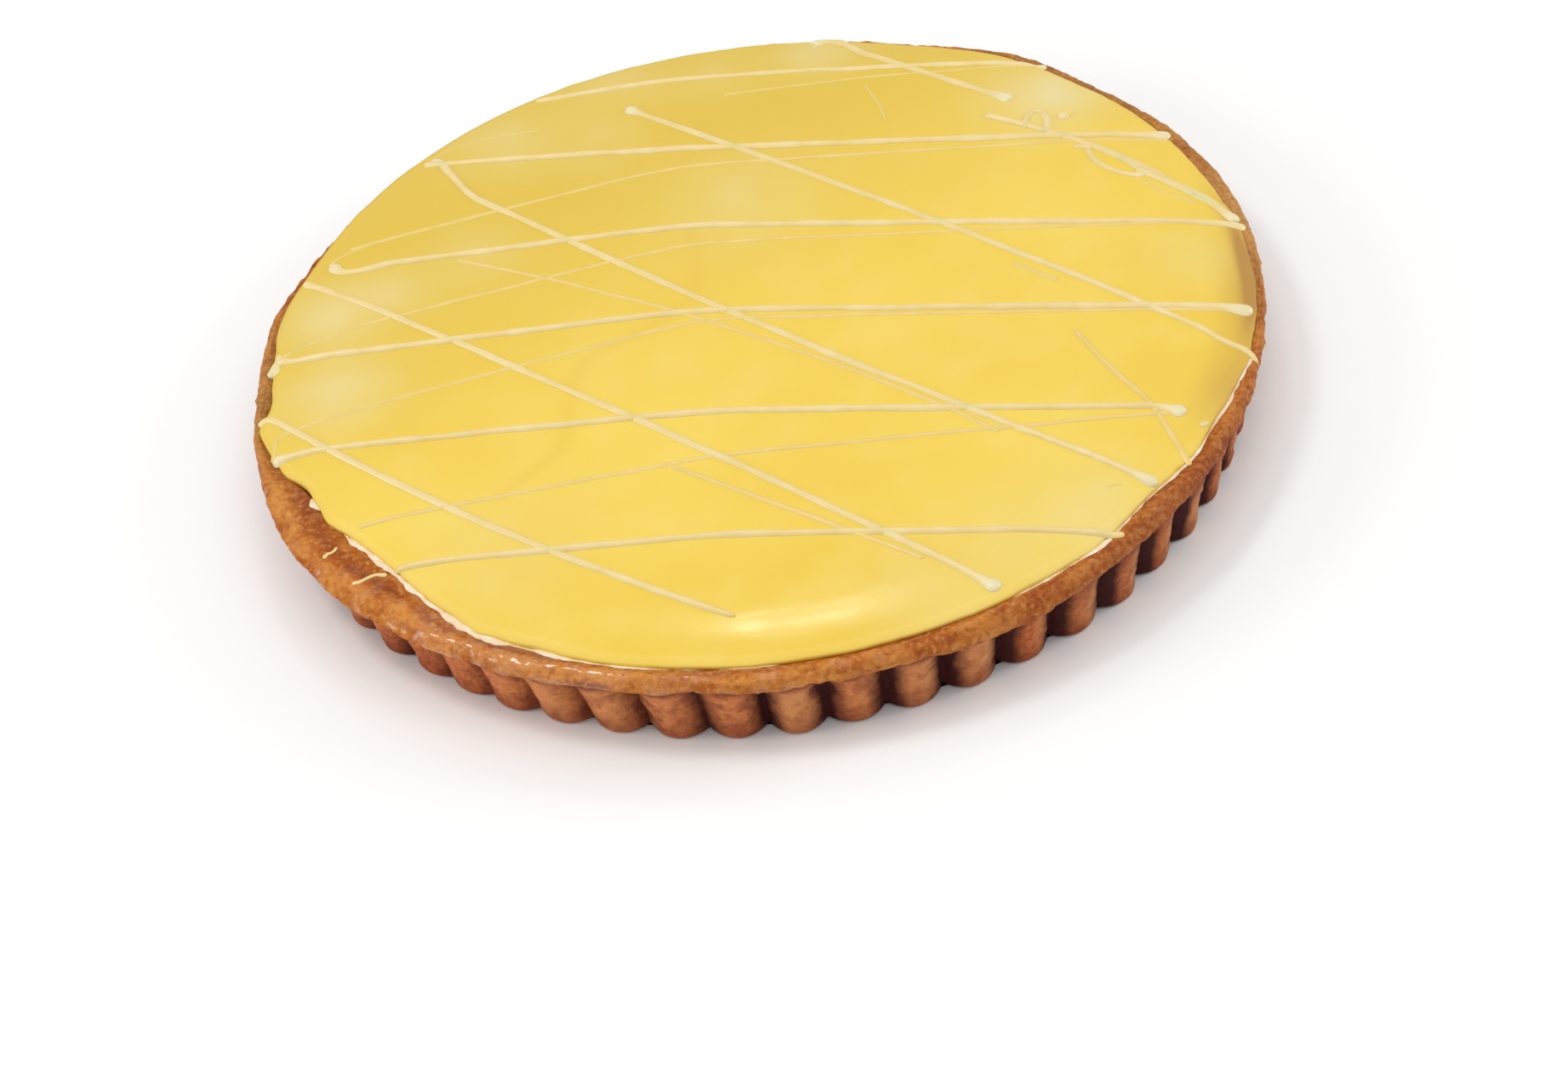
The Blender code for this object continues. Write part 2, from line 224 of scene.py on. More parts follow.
def scatter(cell, seed):
    """A random value from 0 to 1 for each whole-number cell of space."""
    mixed = cell[..., 0] * 73856093 ^ cell[..., 1] * 19349663 ^ cell[..., 2] * 83492791 ^ seed * 2654435761
    mixed = (mixed ^ (mixed >> 13)) * 1274126177
    return ((mixed ^ (mixed >> 16)) & 0xFFFFFF) / 0xFFFFFF


def noise(points, size, seed):
    """A smooth random value from -1 to 1 at each point, with bumps of the given size."""
    cell = np.floor(points / size).astype(np.int64)
    part = points / size - cell
    part = part * part * (3 - 2 * part)
    total = np.zeros(points.shape[:-1])
    for corner in np.ndindex(2, 2, 2):
        weight = np.prod(np.where(corner, part, 1 - part), axis=-1)
        total += weight * scatter(cell + corner, seed)
    return 2 * total - 1


def round_noise(angle, size, seed):
    """Smooth random values from -1 to 1 round the tart's rim, with bumps of the given size."""
    turn = np.radians(angle)
    ring = GLAZE_EDGE * np.stack([np.cos(turn), np.sin(turn), np.zeros_like(turn)], axis=-1)
    return noise(ring, size, seed)


def layered(kind, place, layers):
    """The sum of layers of noise of one kind."""
    return sum(amount * kind(place, size, seed) for amount, size, seed in layers)


def smooth_line(points, step):
    """Points about a step apart on a smooth line through the given ones."""
    points = np.array(points, float)
    padded = np.vstack([2 * points[0] - points[1], points, 2 * points[-1] - points[-2]])
    pieces = []
    for a, b, c, d in zip(padded, padded[1:], padded[2:], padded[3:]):
        count = max(1, round(float(np.linalg.norm((c - b)[:2])) / step))
        t = np.arange(count)[:, None] / count
        square, cube = t * t, t * t * t
        line = 2 * b + (c - a) * t + (2 * a - 5 * b + 4 * c - d) * square
        pieces.append(0.5 * (line + (3 * b - a - 3 * c + d) * cube))
    return np.vstack([*pieces, points[-1:]])


def straight(start, end, step):
    """Points about a step apart on a straight line, without its end."""
    count = max(1, round(math.dist(start, end) / step))
    share = np.arange(count)[:, None] / count
    return np.array(start) + (np.array(end) - np.array(start)) * share


def turned_points(radius, angle, height):
    """Points at radius and height, all arrays of rows by columns, round the axis."""
    turn = np.radians(angle)
    return np.stack([radius * np.cos(turn), radius * np.sin(turn), height], axis=-1)


def facing(rings):
    """Which way the surface of turned rings faces at each point."""
    along = np.roll(rings, -1, axis=1) - np.roll(rings, 1, axis=1)
    down = np.gradient(rings, axis=0)
    across = np.cross(down, along)
    return across / np.maximum(np.linalg.norm(across, axis=-1, keepdims=True), 1e-12)


def new_piece(name, points, faces, masks, material):
    """A smooth mesh piece with one value for each point of each named mask."""
    mesh = bpy.data.meshes.new(name)
    mesh.from_pydata(points.tolist(), [], faces)
    for mask, values in masks.items():
        layer = mesh.attributes.new(mask, "FLOAT", "POINT")
        layer.data.foreach_set("value", np.ascontiguousarray(values, np.float32))
    mesh.materials.append(material)
    mesh.shade_smooth()
    piece = bpy.data.objects.new(name, mesh)
    bpy.context.scene.collection.objects.link(piece)
    return piece


def ring_faces(rows, columns):
    """Four-sided faces between rings of points, each ring closed on itself."""
    row, column = np.meshgrid(np.arange(rows - 1), np.arange(columns), indexing="ij")
    after = (column + 1) % columns
    corners = [row * columns + column, (row + 1) * columns + column]
    corners += [(row + 1) * columns + after, row * columns + after]
    return np.stack(corners, axis=-1).reshape(-1, 4).tolist()


def turned_piece(name, rings, masks, material):
    """A closed piece from rings that run from the top middle outwards, down and back underneath."""
    rows, columns = rings.shape[:2]
    points = rings.reshape(-1, 3)
    middles = np.array([[0, 0, rings[0, :, 2].mean()], [0, 0, rings[-1, :, 2].mean()]])
    faces = ring_faces(rows, columns)
    first, last = rows * columns, rows * columns + 1
    under = (rows - 1) * columns
    for column in range(columns):
        after = (column + 1) % columns
        faces.append((first, column, after))
        faces.append((last, under + after, under + column))
    values = {}
    for mask, value in masks.items():
        value = np.broadcast_to(value, (rows, columns))
        values[mask] = np.concatenate([value.ravel(), [value[0].mean(), value[-1].mean()]])
    return new_piece(name, np.vstack([points, middles]), faces, values, material)


# Materials. Colours are as seen, with channels from 0 to 255.

WALL_DEEP = (172, 82, 36)
WALL_LIGHT = (220, 126, 68)
# Random tone of the flutes, with painted light on their crowns and lit edges
WALL_TONED_AND_LIT = (224, 156, 98)
WALL_PATCH = (140, 60, 28)
# Painted shade low on the wall
WALL_FOOT_SHADE = (130, 56, 32)
LIP_DEEP = (180, 98, 26)
LIP_GOLDEN = (204, 128, 44)
LIP_PATCH = (156, 72, 20)
LIP_INNER = (160, 82, 12)
LIP_TAN = (154, 110, 54)
LIP_PALE = (188, 144, 84)
STREAK_DARK = (148, 68, 16)
STREAK_LIGHT = (216, 142, 66)
CRUMB_LIGHT = (224, 160, 88)
CRUMB_DARK = (128, 54, 14)
GRAIN_DARK = (140, 66, 24)
# Painted shade in hollows of the relief, and painted light on its raised bumps
HOLLOW_SHADE = (128, 54, 22)
RAISED_HIGHLIGHT = (220, 150, 80)
# Darker crust, mostly painted shade on the side away from the light
SHADED_DARK_CRUST = (134, 60, 28)
# Painted shade in the flutes' grooves and on their flanks turned from the light
GROOVE_SHADE = (62, 10, 5)
# Painted shade under the overhanging lip
UNDER_LIP_SHADE = (84, 30, 14)
SPECK_DARK = (92, 38, 16)
GLAZE_YELLOW = (234, 200, 75)
GLAZE_LIGHT = (238, 207, 88)
GLAZE_PATCH = (239, 212, 110)
# Painted shade: the glaze darker towards the back-left
GLAZE_BACK_SHADE = (222, 189, 68)
# Milkiness and painted reflections of soft light on the glaze
GLAZE_MILKY_SHEEN = (230, 214, 154)
# Glaze thinned over crust, with painted shade along its edge
GLAZE_THIN_AND_SHADED = (182, 136, 62)
# Painted shade along the glaze's fold
GLAZE_FOLD_SHADE = (222, 176, 62)
CREAM_WARM = (236, 206, 166)
CREAM_LIGHT = (250, 232, 206)
THIN_ICING = ((229, 195, 102), (234, 202, 116))
THICK_ICING = ((226, 213, 164), (234, 222, 182))
CURD_COLOURS = ((206, 138, 26), (228, 166, 48))
SPONGE_COLOURS = ((222, 174, 100), (244, 208, 146))


def linear(colour):
    """Turn a colour as seen, with channels from 0 to 255, into a linear one."""
    share = np.array(colour) / 255
    low, high = share / 12.92, ((share + 0.055) / 1.055) ** 2.4
    return (*np.where(share <= 0.04045, low, high), 1)


SOFT = {"Subsurface_Weight": 0.2, "Subsurface_Scale": 0.001}


class Paint:
    """A material whose colours come from masks on the mesh and from noise in the tart's own space."""

    def __init__(self, name, **values):
        self.material = bpy.data.materials.new(name)
        self.material.use_nodes = True
        self.tree = self.material.node_tree
        self.shader = self.tree.nodes["Principled BSDF"]
        for socket, value in values.items():
            self.shader.inputs[socket.replace("_", " ")].default_value = value
        self.place = self.add("ShaderNodeTexCoord").outputs["Object"]

    def add(self, kind, settings=None, **inputs):
        """Add a node; an input is a value or another node's output."""
        node = self.tree.nodes.new(kind)
        for name, value in (settings or {}).items():
            setattr(node, name, value)
        for name, value in inputs.items():
            self.feed(node.inputs[name.replace("_", " ")], value)
        return node

    def feed(self, socket, value):
        """Set a socket to a value, or link another node's output to it."""
        if isinstance(value, bpy.types.NodeSocket):
            self.tree.links.new(value, socket)
        else:
            socket.default_value = value

    def mask(self, name, amount=1):
        """A mask stored on the mesh, times an amount."""
        return self.times(self.add("ShaderNodeAttribute", {"attribute_name": name}).outputs["Fac"], amount)

    def pattern(self, kind, size, seed, **inputs):
        """A pattern of about the given size in metres, moved aside by its seed."""
        moved = self.add("ShaderNodeVectorMath", {"operation": "ADD"})
        self.feed(moved.inputs[0], self.place)
        self.feed(moved.inputs[1], (seed, seed, seed))
        return self.add(kind, Vector=moved.outputs[0], Scale=1 / size, **inputs)

    def noise(self, size, detail, seed):
        """Noise with bumps of about the given size, from 0 to 1."""
        return self.pattern("ShaderNodeTexNoise", size, seed, Detail=detail).outputs["Fac"]

    def cells(self, size, seed):
        """Distance from the nearest of points scattered about the given size apart."""
        return self.pattern("ShaderNodeTexVoronoi", size, seed).outputs["Distance"]

    def levels(self, value, low, high, to_low=0, to_high=1):
        """Stretch a range of values to another, clamped."""
        inputs = {"From_Min": low, "From_Max": high, "To_Min": to_low, "To_Max": to_high}
        return self.add("ShaderNodeMapRange", Value=value, **inputs).outputs["Result"]

    def sum(self, first, second, operation="ADD"):
        """Arithmetic on two values."""
        node = self.add("ShaderNodeMath", {"operation": operation})
        self.feed(node.inputs[0], first)
        self.feed(node.inputs[1], second)
        return node.outputs[0]

    def times(self, first, second):
        """The product of two values."""
        return self.sum(first, second, "MULTIPLY")

    def blend(self, share, low, high):
        """Mix two colours; a colour is one as seen or another node's output."""
        node = self.add("ShaderNodeMix", {"data_type": "RGBA", "blend_type": "MIX"})
        self.feed(node.inputs[0], share)
        for socket, colour in ((6, low), (7, high)):
            self.feed(node.inputs[socket], linear(colour) if isinstance(colour, tuple) else colour)
        return node.outputs[2]

    def coats(self, colour, *coats):
        """Lay coats over a colour, each a share and a colour of its own."""
        for share, coat in coats:
            colour = self.blend(share, colour, coat)
        return colour

    def bump(self, height, distance, strength):
        """Relief of the given depth in metres."""
        node = self.add("ShaderNodeBump", Height=height, Distance=distance, Strength=strength)
        return node.outputs["Normal"]

    def finish(self, colour, roughness, normal):
        """Connect what the shader takes from nodes; None leaves the roughness as it is."""
        self.feed(self.shader.inputs["Base Color"], colour)
        self.feed(self.shader.inputs["Normal"], normal)
        if roughness is not None:
            self.feed(self.shader.inputs["Roughness"], roughness)
        return self.material


def wall_colour(paint, crumb, patches):
    """Pinkish brown flutes, in tones of their own with painted light on crowns and lit edges, darker in
    patches, and with painted shade low down.
    """
    return paint.coats(
        paint.blend(paint.levels(crumb, 0.35, 0.68), WALL_DEEP, WALL_LIGHT),
        (paint.mask("tone_and_light"), WALL_TONED_AND_LIT),
        (paint.levels(patches, 0.5, 0.7, 0, 0.55), WALL_PATCH),
        # Painted shade low down on the wall
        (paint.mask("low", 0.6), WALL_FOOT_SHADE),
    )


def lip_colour(paint, crumb, patches, grain):
    """The golden lip: patches and streaks round the rim, tan and pale stretches, and crumb."""
    broad, streaks = paint.noise(14 * MM, 2, 3.1), paint.mask("streaks")
    rough = paint.sum(paint.mask("dark_and_shade", 0.6), 0.4)
    return paint.coats(
        paint.blend(paint.levels(broad, 0.36, 0.64), LIP_DEEP, LIP_GOLDEN),
        (paint.levels(patches, 0.46, 0.64, 0, 0.55), LIP_PATCH),
        (paint.levels(streaks, 0.5, 0.05, 0, 0.8), STREAK_DARK),
        (paint.levels(streaks, 0.6, 1, 0, 0.55), STREAK_LIGHT),
        (paint.mask("inner_face", 0.8), LIP_INNER),
        (paint.mask("tan", 0.85), LIP_TAN),
        (paint.mask("pale", 0.85), LIP_PALE),
        (paint.times(paint.levels(crumb, 0.52, 0.66), rough), CRUMB_LIGHT),
        (paint.times(paint.levels(crumb, 0.46, 0.34), rough), CRUMB_DARK),
        (paint.levels(grain, 0.58, 0.7, 0, 0.4), GRAIN_DARK),
    )


def crust_paint():
    """Baked shortcrust: golden lip, brown flutes, glossy egg wash; red-brown grooves and hollows, the band
    under the lip and the side away from the light are darkened by painted shade, and raised crumb is
    lightened by painted light.
    """
    paint = Paint("baked_shortcrust", Specular_IOR_Level=0.2, Coat_Roughness=0.1)
    patches = paint.noise(4.5 * MM, 3, 7.7)
    crumb, grain = paint.noise(1.4 * MM, 4, 1.3), paint.noise(0.5 * MM, 2, 5.9)
    lip, wall = lip_colour(paint, crumb, patches, grain), wall_colour(paint, crumb, patches)
    hollow_and_bump_shading, wash = paint.mask("hollow_and_bump_shading"), paint.mask("wash")
    shaded = paint.sum(paint.mask("groove_shade"), paint.times(patches, 0.4))
    specks = paint.levels(paint.cells(3.2 * MM, 2), 0.10, 0.04)
    colour = paint.coats(
        paint.blend(paint.mask("lip"), wall, lip),
        # Painted shade in hollows and painted light on bumps, from the relief
        (paint.levels(hollow_and_bump_shading, 0.55, 1, 0, 0.75), HOLLOW_SHADE),
        (paint.levels(hollow_and_bump_shading, 0.4, 0.05, 0, 0.4), RAISED_HIGHLIGHT),
        # Painted shade towards the right side, and a painted shadow on the inner lip
        (paint.mask("dark_and_shade", 0.8), SHADED_DARK_CRUST),
        # Painted shade in the grooves
        (paint.levels(shaded, 0.35, 0.95), GROOVE_SHADE),
        # Painted shade under the lip
        (paint.mask("shade_under_lip"), UNDER_LIP_SHADE),
        (paint.times(specks, paint.levels(patches, 0.5, 0.6)), SPECK_DARK),
    )
    paint.feed(paint.shader.inputs["Coat Weight"], wash)
    relief = paint.sum(paint.times(crumb, 0.7), paint.times(grain, 0.3))
    roughness = paint.levels(wash, 0, 1, 0.62, 0.4)
    return paint.finish(colour, roughness, paint.bump(relief, 0.9 * MM, 0.9))


def glaze_paint():
    """Poured lemon glaze: smooth, glossy with a slight milkiness, browner where it thins out over crust;
    painted shade towards the back-left, along parts of its edge and in its fold, and painted reflections of
    soft light.
    """
    paint = Paint("lemon_glaze", Specular_IOR_Level=0.5, Subsurface_Weight=0.2, Subsurface_Scale=0.0015)
    paint.shader.inputs["Subsurface Radius"].default_value = (1, 0.7, 0.25)
    broad, patches = paint.noise(60 * MM, 2, 4.4), paint.noise(16 * MM, 2, 2.2)
    colour = paint.coats(
        paint.blend(paint.levels(broad, 0.35, 0.65), GLAZE_YELLOW, GLAZE_LIGHT),
        (paint.levels(patches, 0.45, 0.75, 0, 0.35), GLAZE_PATCH),
        # Painted shade towards the back-left
        (paint.mask("back_shade"), GLAZE_BACK_SHADE),
        # Milkiness and painted reflections of soft light
        (paint.mask("milky_and_sheen"), GLAZE_MILKY_SHEEN),
        # Thin glaze over crust, with painted shade along its edge
        (paint.mask("thin"), GLAZE_THIN_AND_SHADED),
        # Painted shade along the fold
        (paint.mask("fold"), GLAZE_FOLD_SHADE),
    )
    edge = paint.mask("edge", 0.4)
    roughness = paint.sum(paint.levels(patches, 0.3, 0.7, 0.13, 0.24), edge)
    normal = paint.bump(paint.noise(2.5 * MM, 2, 8.8), 0.12 * MM, 0.25)
    return paint.finish(colour, roughness, normal)


def cream_paint():
    """Whipped cream: off-white, with a fine uneven surface."""
    paint = Paint("whipped_cream", Roughness=0.55, **SOFT)
    tint = paint.levels(paint.noise(3 * MM, 3, 6.1), 0.35, 0.7)
    normal = paint.bump(paint.noise(0.7 * MM, 3, 9.3), 0.25 * MM, 0.5)
    return paint.finish(paint.blend(tint, CREAM_WARM, CREAM_LIGHT), None, normal)


def icing_paint():
    """Icing: pale yellow where it is thin, nearly white where it is thick."""
    paint = Paint("pale_icing", Roughness=0.32, **SOFT)
    tint = paint.levels(paint.noise(6 * MM, 2, 3.7), 0.3, 0.7)
    thin, thick = paint.blend(tint, *THIN_ICING), paint.blend(tint, *THICK_ICING)
    normal = paint.bump(paint.noise(0.9 * MM, 2, 5.1), 0.1 * MM, 0.3)
    return paint.finish(paint.blend(paint.mask("thick"), thin, thick), None, normal)


def filling_paint(name, colours, size, depth, roughness):
    """A layer inside the tart, mottled between two colours."""
    paint = Paint(name, Roughness=roughness, Subsurface_Weight=0.1, Subsurface_Scale=0.001)
    pattern = paint.noise(size, 4, 2.9)
    colour = paint.blend(paint.levels(pattern, 0.3, 0.7), *colours)
    return paint.finish(colour, None, paint.bump(pattern, depth, 0.6))


# The shell

def flat_rows(height, edge):
    """Outline points of a flat disc, from near its middle out to its edge."""
    return [(radius, height) for radius in (*INNER_RADII, edge)]


def crust_profile():
    """The shell's outline from the middle of its floor, over the lip, down the wall and underneath."""
    ledge = (LEDGE_RADIUS, LEDGE_HEIGHT)
    lip = [
        (SHELL_EDGE, SHELL_EDGE_HEIGHT),
        (mix(SHELL_EDGE, LIP_RADIUS, 0.22), RIM_HEIGHT - 0.3 * MM),
        (mix(SHELL_EDGE, LIP_RADIUS, 0.5), RIM_HEIGHT),
        (mix(SHELL_EDGE, LIP_RADIUS, 0.8), RIM_HEIGHT - 0.9 * MM),
        (LIP_RADIUS, RIM_HEIGHT - 2.7 * MM),
        (LIP_RADIUS - 0.1 * MM, LIP_BOTTOM + 0.9 * MM),
        (LIP_RADIUS - 0.9 * MM, LIP_BOTTOM + 0.1 * MM),
    ]
    wall_top = (WALL_RADIUS + 1.4 * MM, LIP_BOTTOM - 0.5 * MM)
    wall_middle = (WALL_RADIUS, 11.5 * MM)
    wall_low = (WALL_RADIUS - WALL_LEAN, 6 * MM)
    foot = [(FOOT_RADIUS + 1.25 * MM, 2 * MM), (FOOT_RADIUS + 0.9 * MM, 0.5 * MM), (FOOT_RADIUS, 0)]
    return np.vstack([
        flat_rows(FLOOR_HEIGHT, FLOOR_RADIUS),
        straight(ledge, lip[0], 0.8 * MM),
        smooth_line(lip, 0.5 * MM),
        straight(wall_top, wall_middle, 0.55 * MM),
        straight(wall_middle, wall_low, 0.7 * MM),
        straight(wall_low, foot[0], 0.7 * MM),
        smooth_line(foot, 0.5 * MM),
        flat_rows(0, UNDERSIDE_RADIUS)[::-1],
    ])


class Shell:
    """The baked shell as a grid: rows down its outline, columns round the rim."""

    def __init__(self):
        """Lay out the grid, and say where on it the flutes, the wall and the lip are."""
        profile = crust_profile()
        radius, height = profile[:, :1], profile[:, 1:]
        outside = np.arange(len(profile))[:, None] > int(np.argmax(profile[:, 1]))
        base = directions(FLUTES * STEPS_PER_FLUTE)
        crowding = swelling(base, *FLUTE_CROWDING)
        below_rim = 1 - ramp(height, LIP_BOTTOM, RIM_HEIGHT - 1 * MM)
        twisted = outside * (radius > TWIST_RADIUS) * below_rim
        twist = swelling(base, FLUTE_TWIST) * twisted * (height - TWIST_PIVOT)
        self.radius, self.height, self.outside, self.base = radius, height, outside, base
        self.angle = base + FLUTE_TURN + crowding + twist

        below_lip = 1 - ramp(height, FLUTE_TOP, FLUTE_END)
        on_ledge = radius > LEDGE_RADIUS + 1 * MM
        self.wall = outside * below_lip * ramp(radius, UNDERSIDE_RADIUS, FOOT_RADIUS)
        self.lip = ramp(height, LIP_BOTTOM - LIP_BLEND, LIP_BOTTOM + LIP_BLEND) * on_ledge
        self.across = np.clip((radius - SHELL_EDGE) / (LIP_RADIUS - SHELL_EDGE), 0, 1)
        self.front_left = swelling(self.angle, FRONT_LEFT)

        flute = base * FLUTES / 360
        self.number = flute.astype(int) % FLUTES
        self.groove_number = np.round(flute).astype(int) % FLUTES
        self.across_rib = flute % 1
        self.crown = 1 - np.abs(2 * self.across_rib - 1) ** CROWN_POWER

        # The grid unrolled and drawn together along the rim, for folds and streaks that run round it
        way_round = 0.3 * LIP_RADIUS * np.radians(base)
        self.around = np.stack(np.broadcast_arrays(radius, way_round, height), axis=-1)
        wavering = self.across + 0.12 * noise(self.around, 5 * MM, 11)
        self.ridges = hill(wavering, 0.7, 0.16) - hill(wavering, 0.36, 0.1)
        self.shift = self.shifted()

    def shifted(self):
        """How far each point lies outside its nominal radius, as rim and glaze wander."""
        from_ledge = np.clip((self.radius - LEDGE_RADIUS) / (SHELL_EDGE - LEDGE_RADIUS), 0, 1)
        low = self.wall * FOOT_FOLLOWS_LIP * lip_shift(self.angle)
        high = from_ledge * mix(edge_shift(self.angle), lip_shift(self.angle), self.across)
        return mix(low, high, ramp(self.height, SWELLS_FROM, SWELLS_FULLY))

    def fluted_radius(self, chance):
        """Radius of each point, with flutes that are each a little different from the next."""
        stands_out = chance.normal(0, FLUTE_UNEVENNESS, FLUTES)[self.number] * self.crown
        depths = chance.uniform(*FLUTE_DEPTHS, FLUTES)[self.groove_number]
        worn = swelling(self.base, WORN_FLUTES)
        depth = FLUTE_DEPTH * depths * (1 - worn)
        flutes = stands_out - depth * (1 - self.crown) - WORN_INWARDS * worn
        return self.radius + self.shift + self.wall * flutes

    def uneven_height(self):
        """Height of each point: the crest dips and sags, and the lower edge of the lip wanders."""
        angle, height = self.angle, self.height
        crest = ramp(height, SHELL_EDGE_HEIGHT, RIM_HEIGHT)
        band = ramp(height, FLUTE_TOP, LIP_BOTTOM) * (1 - ramp(height, LIP_BOTTOM, RIM_HEIGHT))
        wander = MM * (swelling(angle, LIP_SAG) + layered(round_noise, angle, LIP_WANDER))
        under_glaze = ramp(self.across, 0, 0.35) * ramp(height, LIP_BOTTOM, 22.5 * MM)
        covered = under_glaze * MM * swelling(angle, COVERED_DIP)
        pooled = POOLED_DIP * self.front_left * hill(self.across, 0.16, 0.16) * crest
        dips = crest * swellings(angle, RIM_DIPS) + covered + pooled
        return height + dips + self.outside * band * wander

    def pooled_wash(self, rings):
        """Where egg wash pooled on the lip, from 0 to 1."""
        patches = noise(rings, 3 * MM, 21) + swelling(self.angle, WASH_PATCHES)
        stretch = 0.2 + 0.8 * swelling(self.angle, WASH_STRETCH)
        return self.lip * ramp(patches - 0.42, 0, 0.3) * stretch

    def relief(self, rings, wash):
        """How far lumps, folds that run round the rim, and crumb stand out, in millimetres."""
        folds = (1 - np.abs(noise(self.around, 2.6 * MM, 7))) ** 3
        folds = folds + 0.7 * (1 - np.abs(noise(self.around, 1.4 * MM, 8))) ** 3
        lumps = layered(noise, rings, LUMPS) + 0.36 * (folds - 0.45)
        lumps += 0.45 * self.front_left * self.ridges
        crumb = layered(noise, rings, CRUMB) * (1 - 0.55 * wash)
        beyond = self.radius + self.shift - edge_shift(self.angle)
        free = self.lip * ramp(beyond, GLAZE_EDGE + 0.2 * MM, GLAZE_EDGE + 1.8 * MM)
        above_foot = self.wall * ramp(self.height, 0, 1.5 * MM)
        return free * (lumps + crumb) + above_foot * (0.4 * lumps + crumb)

    def rib_masks(self, chance):
        """Masks over the flutes: ribs of different tones with painted light on front ribs, crowns and lit
        edges, and painted shade in grooves, on flanks turned from the light and low down.
        """
        rib_tone = np.clip(chance.normal(*RIB_TONE, FLUTES), 0, RIB_TONE_MOST)
        rib_tone[int(PALEST_RIB_ANGLE * FLUTES / 360)] = PALEST_RIB_TONE
        # Random tone of each flute, with painted light on the front ribs, on the crowns and on their right
        # edges
        tone_and_light = rib_tone[self.number] + swelling(self.angle, LIT_FRONT_RIBS)
        right_side = swelling(self.angle, RIGHT_SIDE)
        lit = ramp(self.across_rib, 0.45, 0.65) * (1 - ramp(self.across_rib, 0.8, 0.95))
        painted_lit_edge = 0.85 * right_side * lit
        # Painted shade in the grooves, and on the flanks turned from the light at the right side
        shaded_flank = 0.38 * right_side * (1 - ramp(self.across_rib, 0.12, 0.42))
        groove_shade = (1 - self.crown) ** 0.6 * (1 - swelling(self.angle, PALE_GROOVES))
        return {
            "groove_shade": self.wall * (groove_shade + shaded_flank),
            "tone_and_light": self.wall * (tone_and_light * self.crown + painted_lit_edge),
            # Painted shade low down on the wall
            "low": self.wall * (1 - ramp(self.height, 0, 10 * MM)),
        }

    def lip_masks(self, rings):
        """How the lip is baked: streaks round the rim, and tan and pale stretches. Also painted shade:
        darker stretches away from the light, a painted shadow on the inner lip, and shade under the lip.
        """
        angle, across = self.angle, self.across
        inner = (1 - ramp(across + 0.12 * noise(rings, 4 * MM, 22), 0.22, 0.4)) * self.lip
        # Painted shade: the outer lip and the right side darkened away from the light
        shaded_outer = swelling(angle, SHADED_OUTER_LIP) * ramp(across, 0.45, 0.75)
        dark_and_shade = 0.36 * swelling(angle, SHADED_STRETCH) + 0.4 * shaded_outer
        streaks = layered(noise, self.around * (1, 0.5, 1), STREAKS)
        streaks += 0.4 * (0.35 + 0.65 * self.front_left) * self.ridges
        return {
            "dark_and_shade": dark_and_shade + inner * swelling(angle, INNER_LIP_SHADOW),
            "tan": swelling(angle, *TAN_STRETCHES),
            "pale": swelling(angle, PALE_STRETCH),
            "lip": self.lip,
            "streaks": np.clip(0.5 + streaks, 0, 1),
            "inner_face": inner * (0.3 + 0.7 * self.front_left),
            # Painted shade in the band under the lip
            "shade_under_lip": self.outside * ramp(self.height, FLUTE_TOP, LIP_BOTTOM) * (1 - self.lip) * 0.7,
        }


def make_crust(material):
    """The baked shell: fluted wall, rolled lip with dents and crumb, hanging lower at the right front."""
    shell, chance = Shell(), np.random.default_rng(FLUTE_SEED)
    rings = turned_points(shell.fluted_radius(chance), shell.angle, shell.uneven_height())
    wash = shell.pooled_wash(rings)
    relief = shell.relief(rings, wash)
    rings = rings + facing(rings) * (relief * MM)[..., None]
    masks = {**shell.rib_masks(chance), **shell.lip_masks(rings)}
    # Painted shading from the relief: shade in hollows, light on bumps
    masks |= {"hollow_and_bump_shading": np.clip(0.5 - 0.75 * relief, 0, 1), "wash": wash}
    return turned_piece("baked_shell", rings, masks, material)


# Cream and glaze

def edge_detail(angle):
    """Small notches and runs of the glaze's edge, outwards in metres."""
    return swellings(angle, GLAZE_NOTCHES) + MM * layered(round_noise, angle, EDGE_RUNS)


def follow_edge(radius, angle):
    """Move a nominal radius with the wandering edge; inside the even radius nothing moves."""
    outward = np.clip((radius - EVEN_RADIUS) / (GLAZE_EDGE - EVEN_RADIUS), 0, 1)
    return radius + outward * edge_shift(angle)


def height_under(surface, x, y, otherwise):
    """Height of a surface under a place, or another height where there is none."""
    hit = surface.ray_cast(Vector((x, y, 2 * RIM_HEIGHT)), Vector((0, 0, -1)))[0]
    return hit.z if hit else otherwise


def heights_on(surface, points):
    """Height of a surface under each of the points, or of the rim where there is none."""
    heights = np.empty(points.shape[:-1])
    for index in np.ndindex(heights.shape):
        heights[index] = height_under(surface, *points[index][:2], RIM_HEIGHT)
    return heights


def cream_profile(share):
    """The cream's outline, with a row of its thin edge for each share of the way outwards."""
    edge_radius = mix(CREAM_EDGE_START, GLAZE_EDGE - 0.4 * MM, share)
    return np.vstack([
        flat_rows(CREAM_TOP, CREAM_FLAT_RADIUS)[:-1],
        (CREAM_FLAT_RADIUS, CREAM_TOP - 0.3 * MM),
        np.hstack([edge_radius, np.full_like(edge_radius, CREAM_TOP - 0.6 * MM)]),
        flat_rows(CREAM_BOTTOM, LEDGE_RADIUS - GAP)[::-1],
    ])


